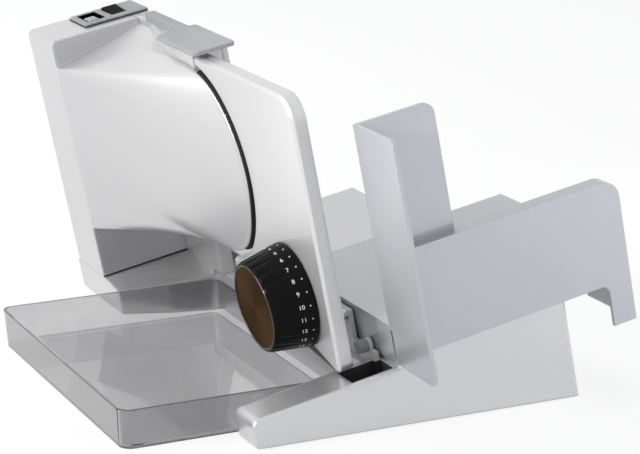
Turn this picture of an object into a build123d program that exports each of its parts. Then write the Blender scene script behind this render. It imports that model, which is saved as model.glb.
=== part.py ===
from build123d import *
import os
from math import atan2, cos, degrees, radians, sin

os.makedirs("parts", exist_ok=True)

# All sizes are in millimetres.
# The machine leans: u runs along its carriage floor to the user's right, y runs away from the user,
# and w stands square to both. The table frame has X right, Y back and Z up.
LEAN = 11.2

# Fits
SLIDE_GAP = 0.3
SHAFT_GAP = 0.05
SEAT_GAP = 0.2

# Base casting
BASE_WALL = 3.5
BASE_LIFT = 1.5
BEAM_LEFT_U = -113.0
BEAM_DEPTH = 32.0
BEAM_TOP_W = 44.4
STEP_U = 4.0
STEP_RADIUS = 5.0
DECK_RIGHT_U = 138.0
DECK_TOP_W = 53.0
DECK_BACK_Y = 345.0
SPINE_LEFT_U = -10.0
SPINE_TOP_W = 40.0
REAR_FRONT_Y = 305.0
REAR_FRONT_MID = (-50.0, 313.0)
REAR_FRONT_LEFT_Y = 327.0
LEDGE_FRONT_W = 34.5
BASE_EDGE = 3.5
NOSE_RADIUS = 6.0
WINDOW_U = (-34.0, -1.5)
WINDOW_Y = (5.0, 25.0)
WINDOW_BAY_U = -5.6
BASE_BELOW = 70.0
REACH = 2000.0

# Motor housing
HOUSE_LEFT_U = -88.0
HOUSE_FRONT_Y = 356.0
HOUSE_BACK_Y = 417.0
HOUSE_TOP_W = 244.0
HOUSE_SPLIT_W = 43.0
HOUSE_WALL = 2.5
HOUSE_EDGE = 4.0
RIDGE_W = 222.0

# Flare that sweeps from the motor housing to the blade
FLARE_U = -38.0
FLARE_RADIUS = 74.0
FLARE_BACK_W = 234.0
FLARE_END_RADIUS = 69.5
FLARE_END_BACK_W = 240.5
FLARE_DEPTH = 8.0
RIDGE_ANGLE = 155.0
TOP_ANGLES = (88.0, 110.0, 132.0)
SWEEP_ANGLES = (180.0, 205.0, 230.0)
LIP_LEFT_W = 86.0
LIP_RIGHT_W = 87.5
LIP_RIGHT_Y = 273.0
LIP_NOSE_Y = 205.0
LIP_NOSE_W = 96.5

# Shoulder under the finger guard
CROWN_FRONT_Y = 186.0
CROWN_FOOT_W = 226.0
CROWN_SIDE = [(-13.0, 337.0), (-24.3, 288.0), (-33.0, 243.0), (-36.3, 202.0)]

# Blade and its frame
BLADE_RADIUS = 71.0
BLADE_AXIS_Y = 194.5
BLADE_AXIS_W = 162.5
BLADE_RIGHT_U = -4.8
BLADE_THICK = 1.4
BLADE_BEVEL = 9.0
BLADE_EDGE = 0.2
DISH_RADIUS = 30.0
DISH_DEPTH = 4.0
LOCK_RADIUS = 14.0
LOCK_GRIP = 1.6
LOCK_GRIP_HALF = 2.6
LOCK_PIN_RADIUS = 2.5
LOCK_PIN = 6.0
FRAME_RIGHT_U = -8.0
FRAME_THICK = 5.0
FRAME_RADIUS = 62.0
FRAME_RECESS_RADIUS = 37.0
FRAME_RECESS = 2.6
FRAME_STEP_Y = 326.0
FRAME_STEP = 8.0
REAR_RIGHT_U = -1.5
REAR_START_Y = 284.0
REAR_BUMP_U = 3.0
REAR_BUMP_Y = 352.0

# Drive
SHAFT_RADIUS = 5.0
BUSH_RADIUS = 9.0
BUSH_FLANGE_RADIUS = 13.0
BUSH_FLANGE = 2.0
SHAFT_STUB = 1.5
PULLEY_U = (-25.0, -19.0)
BLADE_PULLEY_RADIUS = 22.0
MOTOR_PULLEY_RADIUS = 9.0
PULLEY_FLANGE = 0.8
PULLEY_LIP = 2.5
BELT_THICK = 1.6
MOTOR_AXIS_Y = 345.0
MOTOR_AXIS_W = 150.0
MOTOR_RADIUS = 24.0
MOTOR_LENGTH = 30.0
MOTOR_EDGE = 3.0
MOTOR_SHAFT_RADIUS = 3.0
MOTOR_SHAFT_SEAT = 2.0
MOTOR_SHAFT_STUB = 0.5
GEARBOX_RIGHT_U = -28.0
GEARBOX_LENGTH = 10.0
GEARBOX_HALF_Y = 32.0
GEARBOX_HALF_W = 29.0
GEARBOX_CORNER = 5.0
POST_RADIUS = 4.5
POST_Y = 26.0
POST_W = 23.0

# Stop plate
PLATE_LEFT_U = -36.2
PLATE_THICK = 11.4
PLATE_SKIN = 2.5
PLATE_FRONT_Y = 19.0
PLATE_TOP_W = 250.0
PLATE_CORNER = 18.0
PLATE_FOOT_CORNER = 6.0
PLATE_BACK_Y = 183.0
PLATE_FOOT_FRONT_W = 45.4
PLATE_FOOT_BACK_W = 65.0
PLATE_ARC_Y = 194.5
PLATE_ARC_W = 166.5
PLATE_ARC_RADIUS = 76.2
FACE_SHEET = 1.0
PLATE_BAND = 2.0
PLATE_RIB = 3.0
FACE_EDGE = 0.8

# Thickness dial
DIAL_Y = 73.6
DIAL_W = 92.8
DIAL_LENGTH = 31.0
DIAL_BACK_RADIUS = 38.8
DIAL_FRONT_RADIUS = 33.6
DIAL_WALL = 4.0
FLUTE_COUNT = 24
FLUTE_RADIUS = 6.0
FLUTE_LENGTH = 15.0
FLUTE_DEPTH = 1.1
FLUTE_RUNOUT = 2.0
CAP_THICK = 1.5
CAP_RING_WIDTH = 1.6
CAP_RADIUS = 30.0
CAP_RING_RISE = 0.7
CAP_RING_EDGE = 0.4
CAP_RISE = 0.1
DIAL_GAP = 1.0
DIAL_RIM = 2.0
DIAL_EDGE = 1.0
DIAL_HUB_RADIUS = 9.0
DIAL_PIN_RADIUS = 4.5
DIAL_PIN_SHORT = 1.5

# Stop plate slide, in the gap below the food
BRACKET_U = (-4.4, -1.4)
BRACKET_Y = (26.0, 112.0)
BRACKET_TOP_W = 73.0
BRACKET_STEP_Y = 59.0
BRACKET_STEP_W = 50.5
ROD_RADIUS = 4.0
ROD_Y = (64.6, 82.6)
ROD_W = 69.0
ROD_END_U = -41.0
GUIDE_BUSH_RADIUS = 6.5
PEG_RADIUS = 5.0
PEG_Y = 38.0
PEG_W = 53.0
PEG_LENGTH = 8.0
PEG_GAP = 0.6
PEG_EDGE = 0.8

# Carriage
SHEET = 3.0
GUARD_FRONT_Y = -55.6
WALL_FRONT_Y = -0.7
GUARD_FOOT_W = 48.1
GUARD_TOP_W = 225.3
GUARD_CORNER = 5.0
TAB_RIGHT_U = 60.0
TAB_CORNER = 9.0
PANEL_FRONT_Y = -11.0
PANEL_TOP_W = 131.5
PANEL_FOOT_W = 54.6
PANEL_RIGHT_U = 187.0
PANEL_CORNER = 14.0
LEG_WIDTH = 18.5
LEG_FOOT_W = 22.5
LEG_BACK_Y = 51.0
LEG_FILLET = 6.0
END_RISE = 8.0
FLOOR_TOP_W = 77.0
FLOOR_BACK_Y = 165.0

# Carriage guide
RAIL_U = 27.0
RAIL_W = 45.5
RAIL_RADIUS = 4.0
GROOVE_HALF = 10.0
GROOVE_DEPTH = 14.5
GROOVE_END = 8.0
GLIDE_Y = (40.0, 130.0)
STRIP_U = (104.0, 116.0)
STRIP_Y = (12.0, 157.0)

# Slice tray, level on the table
TRAY_LEFT_X = -199.7
TRAY_RIGHT_X = -16.7
TRAY_FRONT_Y = 39.5
TRAY_BACK_Y = 302.5
TRAY_HEIGHT = 28.7
TRAY_WALL = 2.0
TRAY_DRAFT = 2.0
TRAY_CORNER = 9.0
TRAY_RIM = 1.2

# Switches
SWITCH_U = (-53.0, 1.5)
SWITCH_Y = (370.0, 410.0)
SWITCH_THICK = 2.0
SWITCH_CORNER = 2.5
SWITCH_EDGE = 0.6
LOCK_SLOT_U = (-48.0, -32.5)
LOCK_SLOT_Y = (378.0, 405.0)
LOCK_U = (-46.5, -38.0)
LOCK_LENGTH = 13.0
LOCK_RISE = 0.5
LOCK_EDGE = 1.0
POWER_SLOT_U = (-26.8, -13.4)
POWER_SLOT_Y = (379.0, 404.0)
POWER_DROP = 0.6
POWER_RISE = 2.0
POWER_TRAVEL = 2.5
POWER_EDGE = 0.5
SWITCH_BODY_DEPTH = 16.0
SWITCH_BODY_SIDE = 1.0
SWITCH_BODY_END = 2.0
SLOT_DEPTH = 10.0

# Finger guard on top
PADDLE_U = (-41.0, -7.5)
PADDLE_Y = (168.0, 244.0)
PADDLE_GAP = 3.5
PADDLE_THICK = 3.0
PADDLE_CORNER = 4.0
PADDLE_EDGE = 0.8
ARM_U = (-21.0, -12.5)
ARM_BACK_Y = 316.0
ARM_FRONT_GAP = 3.0

# Fasteners and feet
SCREW_RADIUS = 2.0
SCREW_HEAD_RADIUS = 3.8
SCREW_HEAD = 2.4
SCREW_SLOT_HALF = 0.5
SCREW_RUN = 6.0
COVER_SCREW_EDGE = 34.0
COVER_SCREW_HEAD = 1.2
COVER_SCREW_LENGTH = 8.0
POST_HEIGHT = 120.0
COVER_POST_RADIUS = 5.0
FOOT_RADIUS = 7.0
FOOT_HEIGHT = 3.0
FOOT_WALL = 2.0
COVER_BOTTOM = 2.5
COVER_TOP = 4.0
CABLE_U = -45.0
CABLE_W = 24.0
CABLE_RADIUS = 5.5
CABLE_BORE_RADIUS = 3.0
CABLE_FLANGE = 2.0
CABLE_FLANGE_THICK = 1.5
CABLE_SLEEVE_IN = 2.0
CABLE_SLEEVE_OUT = 3.0


def block(u, y, w):
    """Box between two limits along each of u, y and w."""
    limits = (u, y, w)
    size = [high - low for low, high in limits]
    middle = [(high + low) / 2 for low, high in limits]
    return Pos(*middle) * Box(*size)


def rod_u(y, w, radius, u):
    """Round bar along u."""
    return Pos((u[0] + u[1]) / 2, y, w) * Rot(0, 90, 0) * Cylinder(radius, u[1] - u[0])


def rod_y(u, w, radius, y):
    """Round bar along y."""
    return Pos(u, (y[0] + y[1]) / 2, w) * Rot(90, 0, 0) * Cylinder(radius, y[1] - y[0])


def slab_u(outline, u):
    """Outline drawn in (y, w), thick along u."""
    return extrude(Plane.YZ.offset(u[0]) * outline, amount=u[1] - u[0])


def slab_y(outline, y):
    """Outline drawn in (u, w), thick along y."""
    back = Plane((0, y[1], 0), x_dir=(1, 0, 0), z_dir=(0, -1, 0))
    return extrude(back * outline, amount=y[1] - y[0])


def slab_w(outline, w):
    """Outline drawn in (u, y), thick along w."""
    return extrude(Plane.XY.offset(w[0]) * outline, amount=w[1] - w[0])


def outline(*points):
    """Closed straight-sided outline."""
    return make_face(Polyline(*points, close=True))


def rounded_plate(first, second, radius):
    """Rectangle between two limits in each direction, with rounded corners."""
    middle = ((first[0] + first[1]) / 2, (second[0] + second[1]) / 2)
    return Pos(*middle) * RectangleRounded(first[1] - first[0], second[1] - second[0], radius)


def near(value, target):
    return abs(value - target) < 0.01


def on_table(shape):
    """Lean a machine-frame shape into the table frame and cut it level above the table."""
    leaned = Rot(0, -LEAN, 0) * shape
    return leaned & Pos(0, 0, BASE_LIFT + REACH / 2) * Box(REACH, REACH, REACH)


def upright(x, y, radius, z):
    """Round bar standing on the table."""
    return Pos(x, y, (z[0] + z[1]) / 2) * Cylinder(radius, z[1] - z[0])


FRAME_LEFT_U = FRAME_RIGHT_U - FRAME_THICK
PADDLE_FOOT_W = PLATE_TOP_W + PADDLE_GAP
SWITCH_TOP_W = HOUSE_TOP_W + SWITCH_THICK
SLOTS = [(LOCK_SLOT_U, LOCK_SLOT_Y), (POWER_SLOT_U, POWER_SLOT_Y)]


# Base

def base_blocks(inset):
    """The four masses of the base, drawn in by a wall on their sides and tops."""
    low = -BASE_BELOW
    side = outline(
        (BEAM_LEFT_U + inset, low),
        (BEAM_LEFT_U + inset, BEAM_TOP_W - inset),
        (STEP_U + inset, BEAM_TOP_W - inset),
        (STEP_U + inset, DECK_TOP_W - inset),
        (DECK_RIGHT_U - inset, DECK_TOP_W - inset),
        (DECK_RIGHT_U - inset, low),
    )
    beam_top = [v for v in side.vertices() if near(v.Y, BEAM_TOP_W - inset)]
    side = fillet([v for v in beam_top if near(v.X, BEAM_LEFT_U + inset)], NOSE_RADIUS - inset)
    step = [v for v in side.vertices() if near(v.X, STEP_U + inset) and near(v.Y, BEAM_TOP_W - inset)]
    front = slab_y(fillet(step, STEP_RADIUS), (inset, BEAM_DEPTH - inset))
    deck = block(
        (STEP_U + inset, DECK_RIGHT_U - inset),
        (inset, DECK_BACK_Y - inset),
        (low, DECK_TOP_W - inset),
    )
    spine = block(
        (SPINE_LEFT_U + inset, STEP_U - inset),
        (BEAM_DEPTH - inset, REAR_FRONT_Y + inset),
        (low, SPINE_TOP_W - inset),
    )
    passage = block(
        (STEP_U - inset - 1, STEP_U + inset),
        (BEAM_DEPTH + inset, REAR_FRONT_Y - inset),
        (low, SPINE_TOP_W - inset),
    )
    rear_side = outline(
        (REAR_FRONT_Y, low),
        (REAR_FRONT_Y, LEDGE_FRONT_W - inset),
        (HOUSE_FRONT_Y, HOUSE_SPLIT_W - inset),
        (HOUSE_BACK_Y - inset, HOUSE_SPLIT_W - inset),
        (HOUSE_BACK_Y - inset, low),
    )
    rear_plan = outline(
        (HOUSE_LEFT_U + inset, REAR_FRONT_LEFT_Y + inset),
        (REAR_FRONT_MID[0], REAR_FRONT_MID[1] + inset),
        (FRAME_LEFT_U, REAR_FRONT_Y + inset),
        (STEP_U - inset, REAR_FRONT_Y + inset),
        (STEP_U - inset, HOUSE_BACK_Y),
        (HOUSE_LEFT_U + inset, HOUSE_BACK_Y),
    )
    rear = slab_u(rear_side, (HOUSE_LEFT_U, STEP_U)) & slab_w(rear_plan, (low, HOUSE_SPLIT_W))
    return front + deck + spine + passage + rear


def groove(grow):
    """Open trough in the deck for the guide rail."""
    return block(
        (RAIL_U - GROOVE_HALF - grow, RAIL_U + GROOVE_HALF + grow),
        (GROOVE_END - grow, DECK_BACK_Y - GROOVE_END + grow),
        (DECK_TOP_W - GROOVE_DEPTH - grow, DECK_TOP_W + 1),
    )


def beam_window():
    """Opening in the top of the front beam by the stop plate's foot, deeper beside the slide bracket."""
    left, right = WINDOW_U
    front, back = WINDOW_Y
    bay_back = BEAM_DEPTH - BASE_WALL
    plan = outline(
        (left, front),
        (right, front),
        (right, back),
        (WINDOW_BAY_U, back),
        (WINDOW_BAY_U, bay_back),
        (left, bay_back),
    )
    return slab_w(plan, (BEAM_TOP_W - BASE_WALL - 1, BEAM_TOP_W + 1))


def cover_screw_places():
    """Screw places of the bottom cover, in table X and Y."""
    edge = BASE_WALL + COVER_SCREW_EDGE
    x_low = STEP_U + edge
    x_high = DECK_RIGHT_U * cos(radians(LEAN)) - edge
    y_low = edge
    y_high = DECK_BACK_Y - edge
    return [(x, y) for x in (x_low, x_high) for y in (y_low, y_high)]


def foot_places():
    """Places of the rubber feet, in table X and Y."""
    left = BEAM_LEFT_U * cos(radians(LEAN)) + 2 * FOOT_RADIUS
    right = DECK_RIGHT_U * cos(radians(LEAN)) - 2 * FOOT_RADIUS
    front = BEAM_DEPTH / 2
    back = HOUSE_BACK_Y - 2 * FOOT_RADIUS
    house_left = HOUSE_LEFT_U * cos(radians(LEAN)) + 2 * FOOT_RADIUS
    return [(left, front), (right, front), (right, DECK_BACK_Y - 2 * FOOT_RADIUS), (house_left, back)]


def base_casting():
    outside = base_blocks(0)
    front_edges = [edge for edge in outside.edges() if near(edge.bounding_box().max.Y, 0)]
    outside = fillet([edge for edge in front_edges if edge.center().Z > -BASE_BELOW / 2], BASE_EDGE)
    solid = on_table(outside)
    casting = outside - (base_blocks(BASE_WALL) - groove(BASE_WALL)) - groove(0)
    casting = on_table(casting - beam_window())
    posts = Part()
    bores = Part()
    for x, y in cover_screw_places():
        posts += upright(x, y, COVER_POST_RADIUS, (COVER_TOP, POST_HEIGHT))
        bores += upright(x, y, SCREW_RADIUS + SHAFT_GAP, (0, COVER_TOP + COVER_SCREW_LENGTH))
    for x, y in foot_places():
        posts += upright(x, y, FOOT_RADIUS + FOOT_WALL, (BASE_LIFT, POST_HEIGHT))
        bores += upright(x, y, FOOT_RADIUS + SHAFT_GAP, (0, FOOT_HEIGHT))
    casting += posts & solid - Rot(0, -LEAN, 0) * groove(BASE_WALL / 2)
    casting -= bores
    casting -= Rot(0, -LEAN, 0) * cable_hole()
    return casting


def cable_hole():
    return rod_y(CABLE_U, CABLE_W, CABLE_RADIUS, (HOUSE_BACK_Y - BASE_WALL - 1, HOUSE_BACK_Y + 1))


def cable_bush():
    inner = HOUSE_BACK_Y - BASE_WALL - CABLE_SLEEVE_IN
    outer = HOUSE_BACK_Y + CABLE_SLEEVE_OUT
    sleeve = rod_y(CABLE_U, CABLE_W, CABLE_RADIUS, (inner, outer))
    flange_y = (HOUSE_BACK_Y, HOUSE_BACK_Y + CABLE_FLANGE_THICK)
    flange = rod_y(CABLE_U, CABLE_W, CABLE_RADIUS + CABLE_FLANGE, flange_y)
    bore = rod_y(CABLE_U, CABLE_W, CABLE_BORE_RADIUS, (inner - 1, outer + 1))
    return sleeve + flange - bore


def base_cover():
    room = Rot(0, -LEAN, 0) * base_blocks(BASE_WALL + SEAT_GAP)
    thick = COVER_TOP - COVER_BOTTOM
    cover = room & Pos(0, 0, COVER_BOTTOM + thick / 2) * Box(REACH, REACH, thick)
    through = (COVER_BOTTOM - 1, COVER_TOP + 1)
    for x, y in cover_screw_places():
        cover -= upright(x, y, SCREW_RADIUS + SEAT_GAP, through)
    for x, y in foot_places():
        cover -= upright(x, y, FOOT_RADIUS + FOOT_WALL + SEAT_GAP, through)
    return cover


def base_cover_screws():
    screws = []
    for x, y in cover_screw_places():
        head = upright(x, y, SCREW_HEAD_RADIUS, (COVER_BOTTOM - COVER_SCREW_HEAD, COVER_BOTTOM))
        screws.append(head + upright(x, y, SCREW_RADIUS, (COVER_BOTTOM, COVER_BOTTOM + COVER_SCREW_LENGTH)))
    return screws


def rubber_feet():
    return [upright(x, y, FOOT_RADIUS, (0, FOOT_HEIGHT)) for x, y in foot_places()]


def guide_rail():
    return rod_y(RAIL_U, RAIL_W, RAIL_RADIUS, (GROOVE_END, DECK_BACK_Y - GROOVE_END))


# Motor housing and frames

def flare_start(inset):
    """Ring of four edges where the flare leaves the motor housing."""
    u = HOUSE_LEFT_U + inset
    front = HOUSE_FRONT_Y + inset
    back = HOUSE_FRONT_Y + FLARE_DEPTH
    corners = [
        (u, back, RIDGE_W - inset),
        (u, front, RIDGE_W - inset),
        (u, front, LIP_LEFT_W + inset),
        (u, back, LIP_LEFT_W + inset),
    ]
    return Wire([Line(corners[i], corners[(i + 1) % 4]) for i in range(4)])


def flare_ring(u, centre_w, radius, back_w, inset):
    """Ring of four edges round the flare: top, sweep, floor and back."""
    def on_arc(angle):
        turn = radians(angle)
        return (u, PLATE_ARC_Y + (radius - inset) * cos(turn), centre_w + (radius - inset) * sin(turn))

    back = HOUSE_FRONT_Y + FLARE_DEPTH
    top_back = (u, back, back_w - inset)
    nose = (u, LIP_NOSE_Y, LIP_NOSE_W + inset)
    lip = (u, LIP_RIGHT_Y, LIP_RIGHT_W + inset)
    floor_back = (u, back, LIP_RIGHT_W + inset)
    over = (0, -sin(radians(RIDGE_ANGLE)), cos(radians(RIDGE_ANGLE)))
    lip_way = (0, LIP_RIGHT_Y - LIP_NOSE_Y, LIP_RIGHT_W - LIP_NOSE_W)
    top_points = [on_arc(angle) for angle in (*TOP_ANGLES, RIDGE_ANGLE)]
    sweep_points = [on_arc(angle) for angle in (RIDGE_ANGLE, *SWEEP_ANGLES)]
    return Wire(
        [
            Spline(top_back, *top_points, tangents=[(0, -1, 0), over]),
            Spline(*sweep_points, nose, lip, tangents=[over, lip_way]),
            Line(lip, floor_back),
            Line(floor_back, top_back),
        ]
    )


def flare(inset):
    rings = [
        flare_start(inset),
        flare_ring(FLARE_U, PLATE_ARC_W, FLARE_RADIUS, FLARE_BACK_W, inset),
        flare_ring(FRAME_LEFT_U, BLADE_AXIS_W, FLARE_END_RADIUS, FLARE_END_BACK_W, inset),
    ]
    return Solid.make_loft(rings, ruled=True)


def motor_housing():
    box = block((HOUSE_LEFT_U, FRAME_LEFT_U), (HOUSE_FRONT_Y, HOUSE_BACK_Y), (HOUSE_SPLIT_W, HOUSE_TOP_W))
    above = [edge for edge in box.edges() if edge.center().Z > HOUSE_SPLIT_W + 1]
    behind = [edge for edge in above if edge.center().Y > HOUSE_FRONT_Y + 1]
    soft = [edge for edge in behind if near(edge.center().X, HOUSE_LEFT_U)]
    back = [edge for edge in behind if near(edge.center().Y, HOUSE_BACK_Y)]
    soft += [edge for edge in back if near(edge.center().Z, HOUSE_TOP_W)]
    inside = block(
        (HOUSE_LEFT_U + HOUSE_WALL, FRAME_LEFT_U),
        (HOUSE_FRONT_Y + HOUSE_WALL, HOUSE_BACK_Y - HOUSE_WALL),
        (HOUSE_SPLIT_W + HOUSE_WALL, HOUSE_TOP_W - HOUSE_WALL),
    )
    room = inside + flare(HOUSE_WALL)
    housing = fillet(soft, HOUSE_EDGE) + flare(0) - room
    for u, y in SLOTS:
        housing -= block(u, y, (HOUSE_TOP_W - SLOT_DEPTH, HOUSE_TOP_W + 1))
    return housing


def guard_shoulder():
    """Shoulder between the flare and the blade frame that carries the finger guard."""
    side = Spline(*CROWN_SIDE, tangents=[(-1, -4), (0, -1)])
    front = Polyline(
        CROWN_SIDE[-1],
        (CROWN_SIDE[-1][0], CROWN_FRONT_Y),
        (FRAME_LEFT_U, CROWN_FRONT_Y),
        CROWN_SIDE[0],
    )
    return slab_w(make_face(side + front), (CROWN_FOOT_W, PLATE_TOP_W)) - flare(0)


def blade_frame():
    frame_u = (FRAME_LEFT_U, FRAME_RIGHT_U)
    disc = Pos(BLADE_AXIS_Y, BLADE_AXIS_W) * Circle(FRAME_RADIUS)
    body = outline(
        (CROWN_FRONT_Y, LIP_NOSE_W + HOUSE_WALL),
        (CROWN_FRONT_Y, PLATE_TOP_W),
        (FRAME_STEP_Y, PLATE_TOP_W),
        (FRAME_STEP_Y + FRAME_STEP, HOUSE_TOP_W),
        (HOUSE_BACK_Y, HOUSE_TOP_W),
        (HOUSE_BACK_Y, HOUSE_SPLIT_W),
        (HOUSE_FRONT_Y, HOUSE_SPLIT_W),
        (HOUSE_FRONT_Y, LIP_RIGHT_W),
        (LIP_RIGHT_Y, LIP_RIGHT_W),
    )
    plate = slab_u(disc + body, frame_u)
    plate -= rod_u(BLADE_AXIS_Y, BLADE_AXIS_W, BUSH_RADIUS, (FRAME_LEFT_U - 1, FRAME_RIGHT_U))
    recess_u = (FRAME_RIGHT_U - FRAME_RECESS, FRAME_RIGHT_U + 1)
    return plate - rod_u(BLADE_AXIS_Y, BLADE_AXIS_W, FRAME_RECESS_RADIUS, recess_u)


def rear_frame():
    shape = outline(
        (REAR_START_Y, SPINE_TOP_W),
        (REAR_START_Y, HOUSE_TOP_W),
        (HOUSE_BACK_Y, HOUSE_TOP_W),
        (HOUSE_BACK_Y, HOUSE_SPLIT_W),
        (HOUSE_FRONT_Y, HOUSE_SPLIT_W),
        (REAR_FRONT_Y, LEDGE_FRONT_W),
        (REAR_FRONT_Y, SPINE_TOP_W),
    )
    foot = outline(
        (REAR_START_Y, SPINE_TOP_W),
        (REAR_START_Y, LIP_RIGHT_W),
        (HOUSE_FRONT_Y, LIP_RIGHT_W),
        (HOUSE_FRONT_Y, HOUSE_SPLIT_W),
        (REAR_FRONT_Y, LEDGE_FRONT_W),
        (REAR_FRONT_Y, SPINE_TOP_W),
    )
    bump_y = (REAR_BUMP_Y, HOUSE_BACK_Y)
    bump = block((FRAME_RIGHT_U, REAR_BUMP_U), bump_y, (HOUSE_SPLIT_W, HOUSE_TOP_W))
    right = [edge for edge in bump.edges() if near(edge.center().X, REAR_BUMP_U)]
    bump = fillet([edge for edge in right if edge.center().Z > HOUSE_SPLIT_W + 1], HOUSE_WALL)
    frame = slab_u(shape, (FRAME_RIGHT_U, REAR_RIGHT_U)) + bump
    frame += slab_u(foot, (FRAME_LEFT_U, FRAME_RIGHT_U))
    inside = slab_u(offset(shape, -HOUSE_WALL), (FRAME_RIGHT_U - 1, REAR_RIGHT_U - HOUSE_WALL))
    inside += block(
        (FRAME_RIGHT_U - 1, REAR_BUMP_U - HOUSE_WALL),
        (REAR_BUMP_Y + HOUSE_WALL, HOUSE_BACK_Y - HOUSE_WALL),
        (HOUSE_SPLIT_W + HOUSE_WALL, HOUSE_TOP_W - HOUSE_WALL),
    )
    return frame - inside


def top_guard():
    top_w = PADDLE_FOOT_W + PADDLE_THICK
    paddle = slab_w(rounded_plate(PADDLE_U, PADDLE_Y, PADDLE_CORNER), (PADDLE_FOOT_W, top_w))
    arm = block(ARM_U, (PADDLE_Y[1] - 2 * PADDLE_CORNER, ARM_BACK_Y), (PADDLE_FOOT_W, top_w))
    arm += block(ARM_U, (PADDLE_Y[1] + ARM_FRONT_GAP, ARM_BACK_Y), (PLATE_TOP_W, top_w))
    guard = paddle + arm
    rim = [edge for edge in guard.edges() if near(edge.bounding_box().min.Z, top_w)]
    return fillet(rim, PADDLE_EDGE)


# Blade and drive

def blade_turned(*profile):
    """Turned piece about the blade axis from (radius, u) points."""
    face = Plane.XZ * outline(*[(u, radius) for radius, u in profile])
    return Pos(0, BLADE_AXIS_Y, BLADE_AXIS_W) * revolve(face, Axis.X)


def blade():
    right = BLADE_RIGHT_U
    left = BLADE_RIGHT_U - BLADE_THICK
    return blade_turned(
        (SHAFT_RADIUS, left - DISH_DEPTH),
        (SHAFT_RADIUS, right - DISH_DEPTH),
        (DISH_RADIUS, right - DISH_DEPTH),
        (DISH_RADIUS + DISH_DEPTH, right),
        (BLADE_RADIUS, right),
        (BLADE_RADIUS, right - BLADE_EDGE),
        (BLADE_RADIUS - BLADE_BEVEL, left),
        (DISH_RADIUS + DISH_DEPTH, left),
        (DISH_RADIUS, left - DISH_DEPTH),
    )


def blade_shaft():
    end = BLADE_RIGHT_U - DISH_DEPTH
    shaft = rod_u(BLADE_AXIS_Y, BLADE_AXIS_W, SHAFT_RADIUS, (PULLEY_U[0] - SHAFT_STUB, end))
    pin_hole = (end - LOCK_PIN - 1, end + 1)
    return shaft - rod_u(BLADE_AXIS_Y, BLADE_AXIS_W, LOCK_PIN_RADIUS + SHAFT_GAP, pin_hole)


def blade_bush():
    left = FRAME_LEFT_U - BUSH_FLANGE
    right = FRAME_RIGHT_U - FRAME_RECESS
    tube = rod_u(BLADE_AXIS_Y, BLADE_AXIS_W, BUSH_RADIUS, (left, right))
    tube += rod_u(BLADE_AXIS_Y, BLADE_AXIS_W, BUSH_FLANGE_RADIUS, (left, FRAME_LEFT_U))
    return tube - rod_u(BLADE_AXIS_Y, BLADE_AXIS_W, SHAFT_RADIUS + SHAFT_GAP, (left - 1, right + 1))


def blade_lock():
    floor = BLADE_RIGHT_U - DISH_DEPTH
    face = floor + SEAT_GAP
    front = BLADE_RIGHT_U - SEAT_GAP
    knob = rod_u(BLADE_AXIS_Y, BLADE_AXIS_W, LOCK_RADIUS, (face, front - LOCK_GRIP))
    knob += block(
        (face, front),
        (BLADE_AXIS_Y - LOCK_GRIP_HALF, BLADE_AXIS_Y + LOCK_GRIP_HALF),
        (BLADE_AXIS_W - LOCK_RADIUS + LOCK_GRIP_HALF, BLADE_AXIS_W + LOCK_RADIUS - LOCK_GRIP_HALF),
    )
    return knob + rod_u(BLADE_AXIS_Y, BLADE_AXIS_W, LOCK_PIN_RADIUS, (floor - LOCK_PIN, face))


def pulley(y, w, radius, bore):
    low, high = PULLEY_U
    wheel = rod_u(y, w, radius, PULLEY_U)
    wheel += rod_u(y, w, radius + PULLEY_LIP, (low, low + PULLEY_FLANGE))
    wheel += rod_u(y, w, radius + PULLEY_LIP, (high - PULLEY_FLANGE, high))
    return wheel - rod_u(y, w, bore, (low - 1, high + 1))


def belt_loop(grow):
    wheels = [
        Pos(BLADE_AXIS_Y, BLADE_AXIS_W) * Circle(BLADE_PULLEY_RADIUS + grow),
        Pos(MOTOR_AXIS_Y, MOTOR_AXIS_W) * Circle(MOTOR_PULLEY_RADIUS + grow),
    ]
    return make_hull((wheels[0] + wheels[1]).edges())


def drive_belt():
    width = (PULLEY_U[0] + PULLEY_FLANGE + SLIDE_GAP, PULLEY_U[1] - PULLEY_FLANGE - SLIDE_GAP)
    return slab_u(belt_loop(SLIDE_GAP + BELT_THICK) - belt_loop(SLIDE_GAP), width)


GEARBOX_LEFT_U = GEARBOX_RIGHT_U - GEARBOX_LENGTH
POSTS = [(MOTOR_AXIS_Y + a * POST_Y, MOTOR_AXIS_W + b * POST_W) for a in (-1, 1) for b in (-1, 1)]


def motor_can():
    can = rod_u(MOTOR_AXIS_Y, MOTOR_AXIS_W, MOTOR_RADIUS, (GEARBOX_LEFT_U - MOTOR_LENGTH, GEARBOX_LEFT_U))
    rim = [edge for edge in can.edges() if near(edge.center().X, GEARBOX_LEFT_U - MOTOR_LENGTH)]
    return fillet(rim, MOTOR_EDGE)


def motor_gearbox():
    half_y, half_w = GEARBOX_HALF_Y, GEARBOX_HALF_W
    face = Pos(MOTOR_AXIS_Y, MOTOR_AXIS_W) * RectangleRounded(2 * half_y, 2 * half_w, GEARBOX_CORNER)
    gearbox = slab_u(face, (GEARBOX_LEFT_U, GEARBOX_RIGHT_U))
    bore_u = (GEARBOX_LEFT_U + MOTOR_SHAFT_SEAT, GEARBOX_RIGHT_U + 1)
    gearbox -= rod_u(MOTOR_AXIS_Y, MOTOR_AXIS_W, MOTOR_SHAFT_RADIUS + SHAFT_GAP, bore_u)
    for y, w in POSTS:
        gearbox -= rod_u(y, w, SCREW_RADIUS, (GEARBOX_LEFT_U - 1, GEARBOX_RIGHT_U + 1))
    return gearbox


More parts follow.
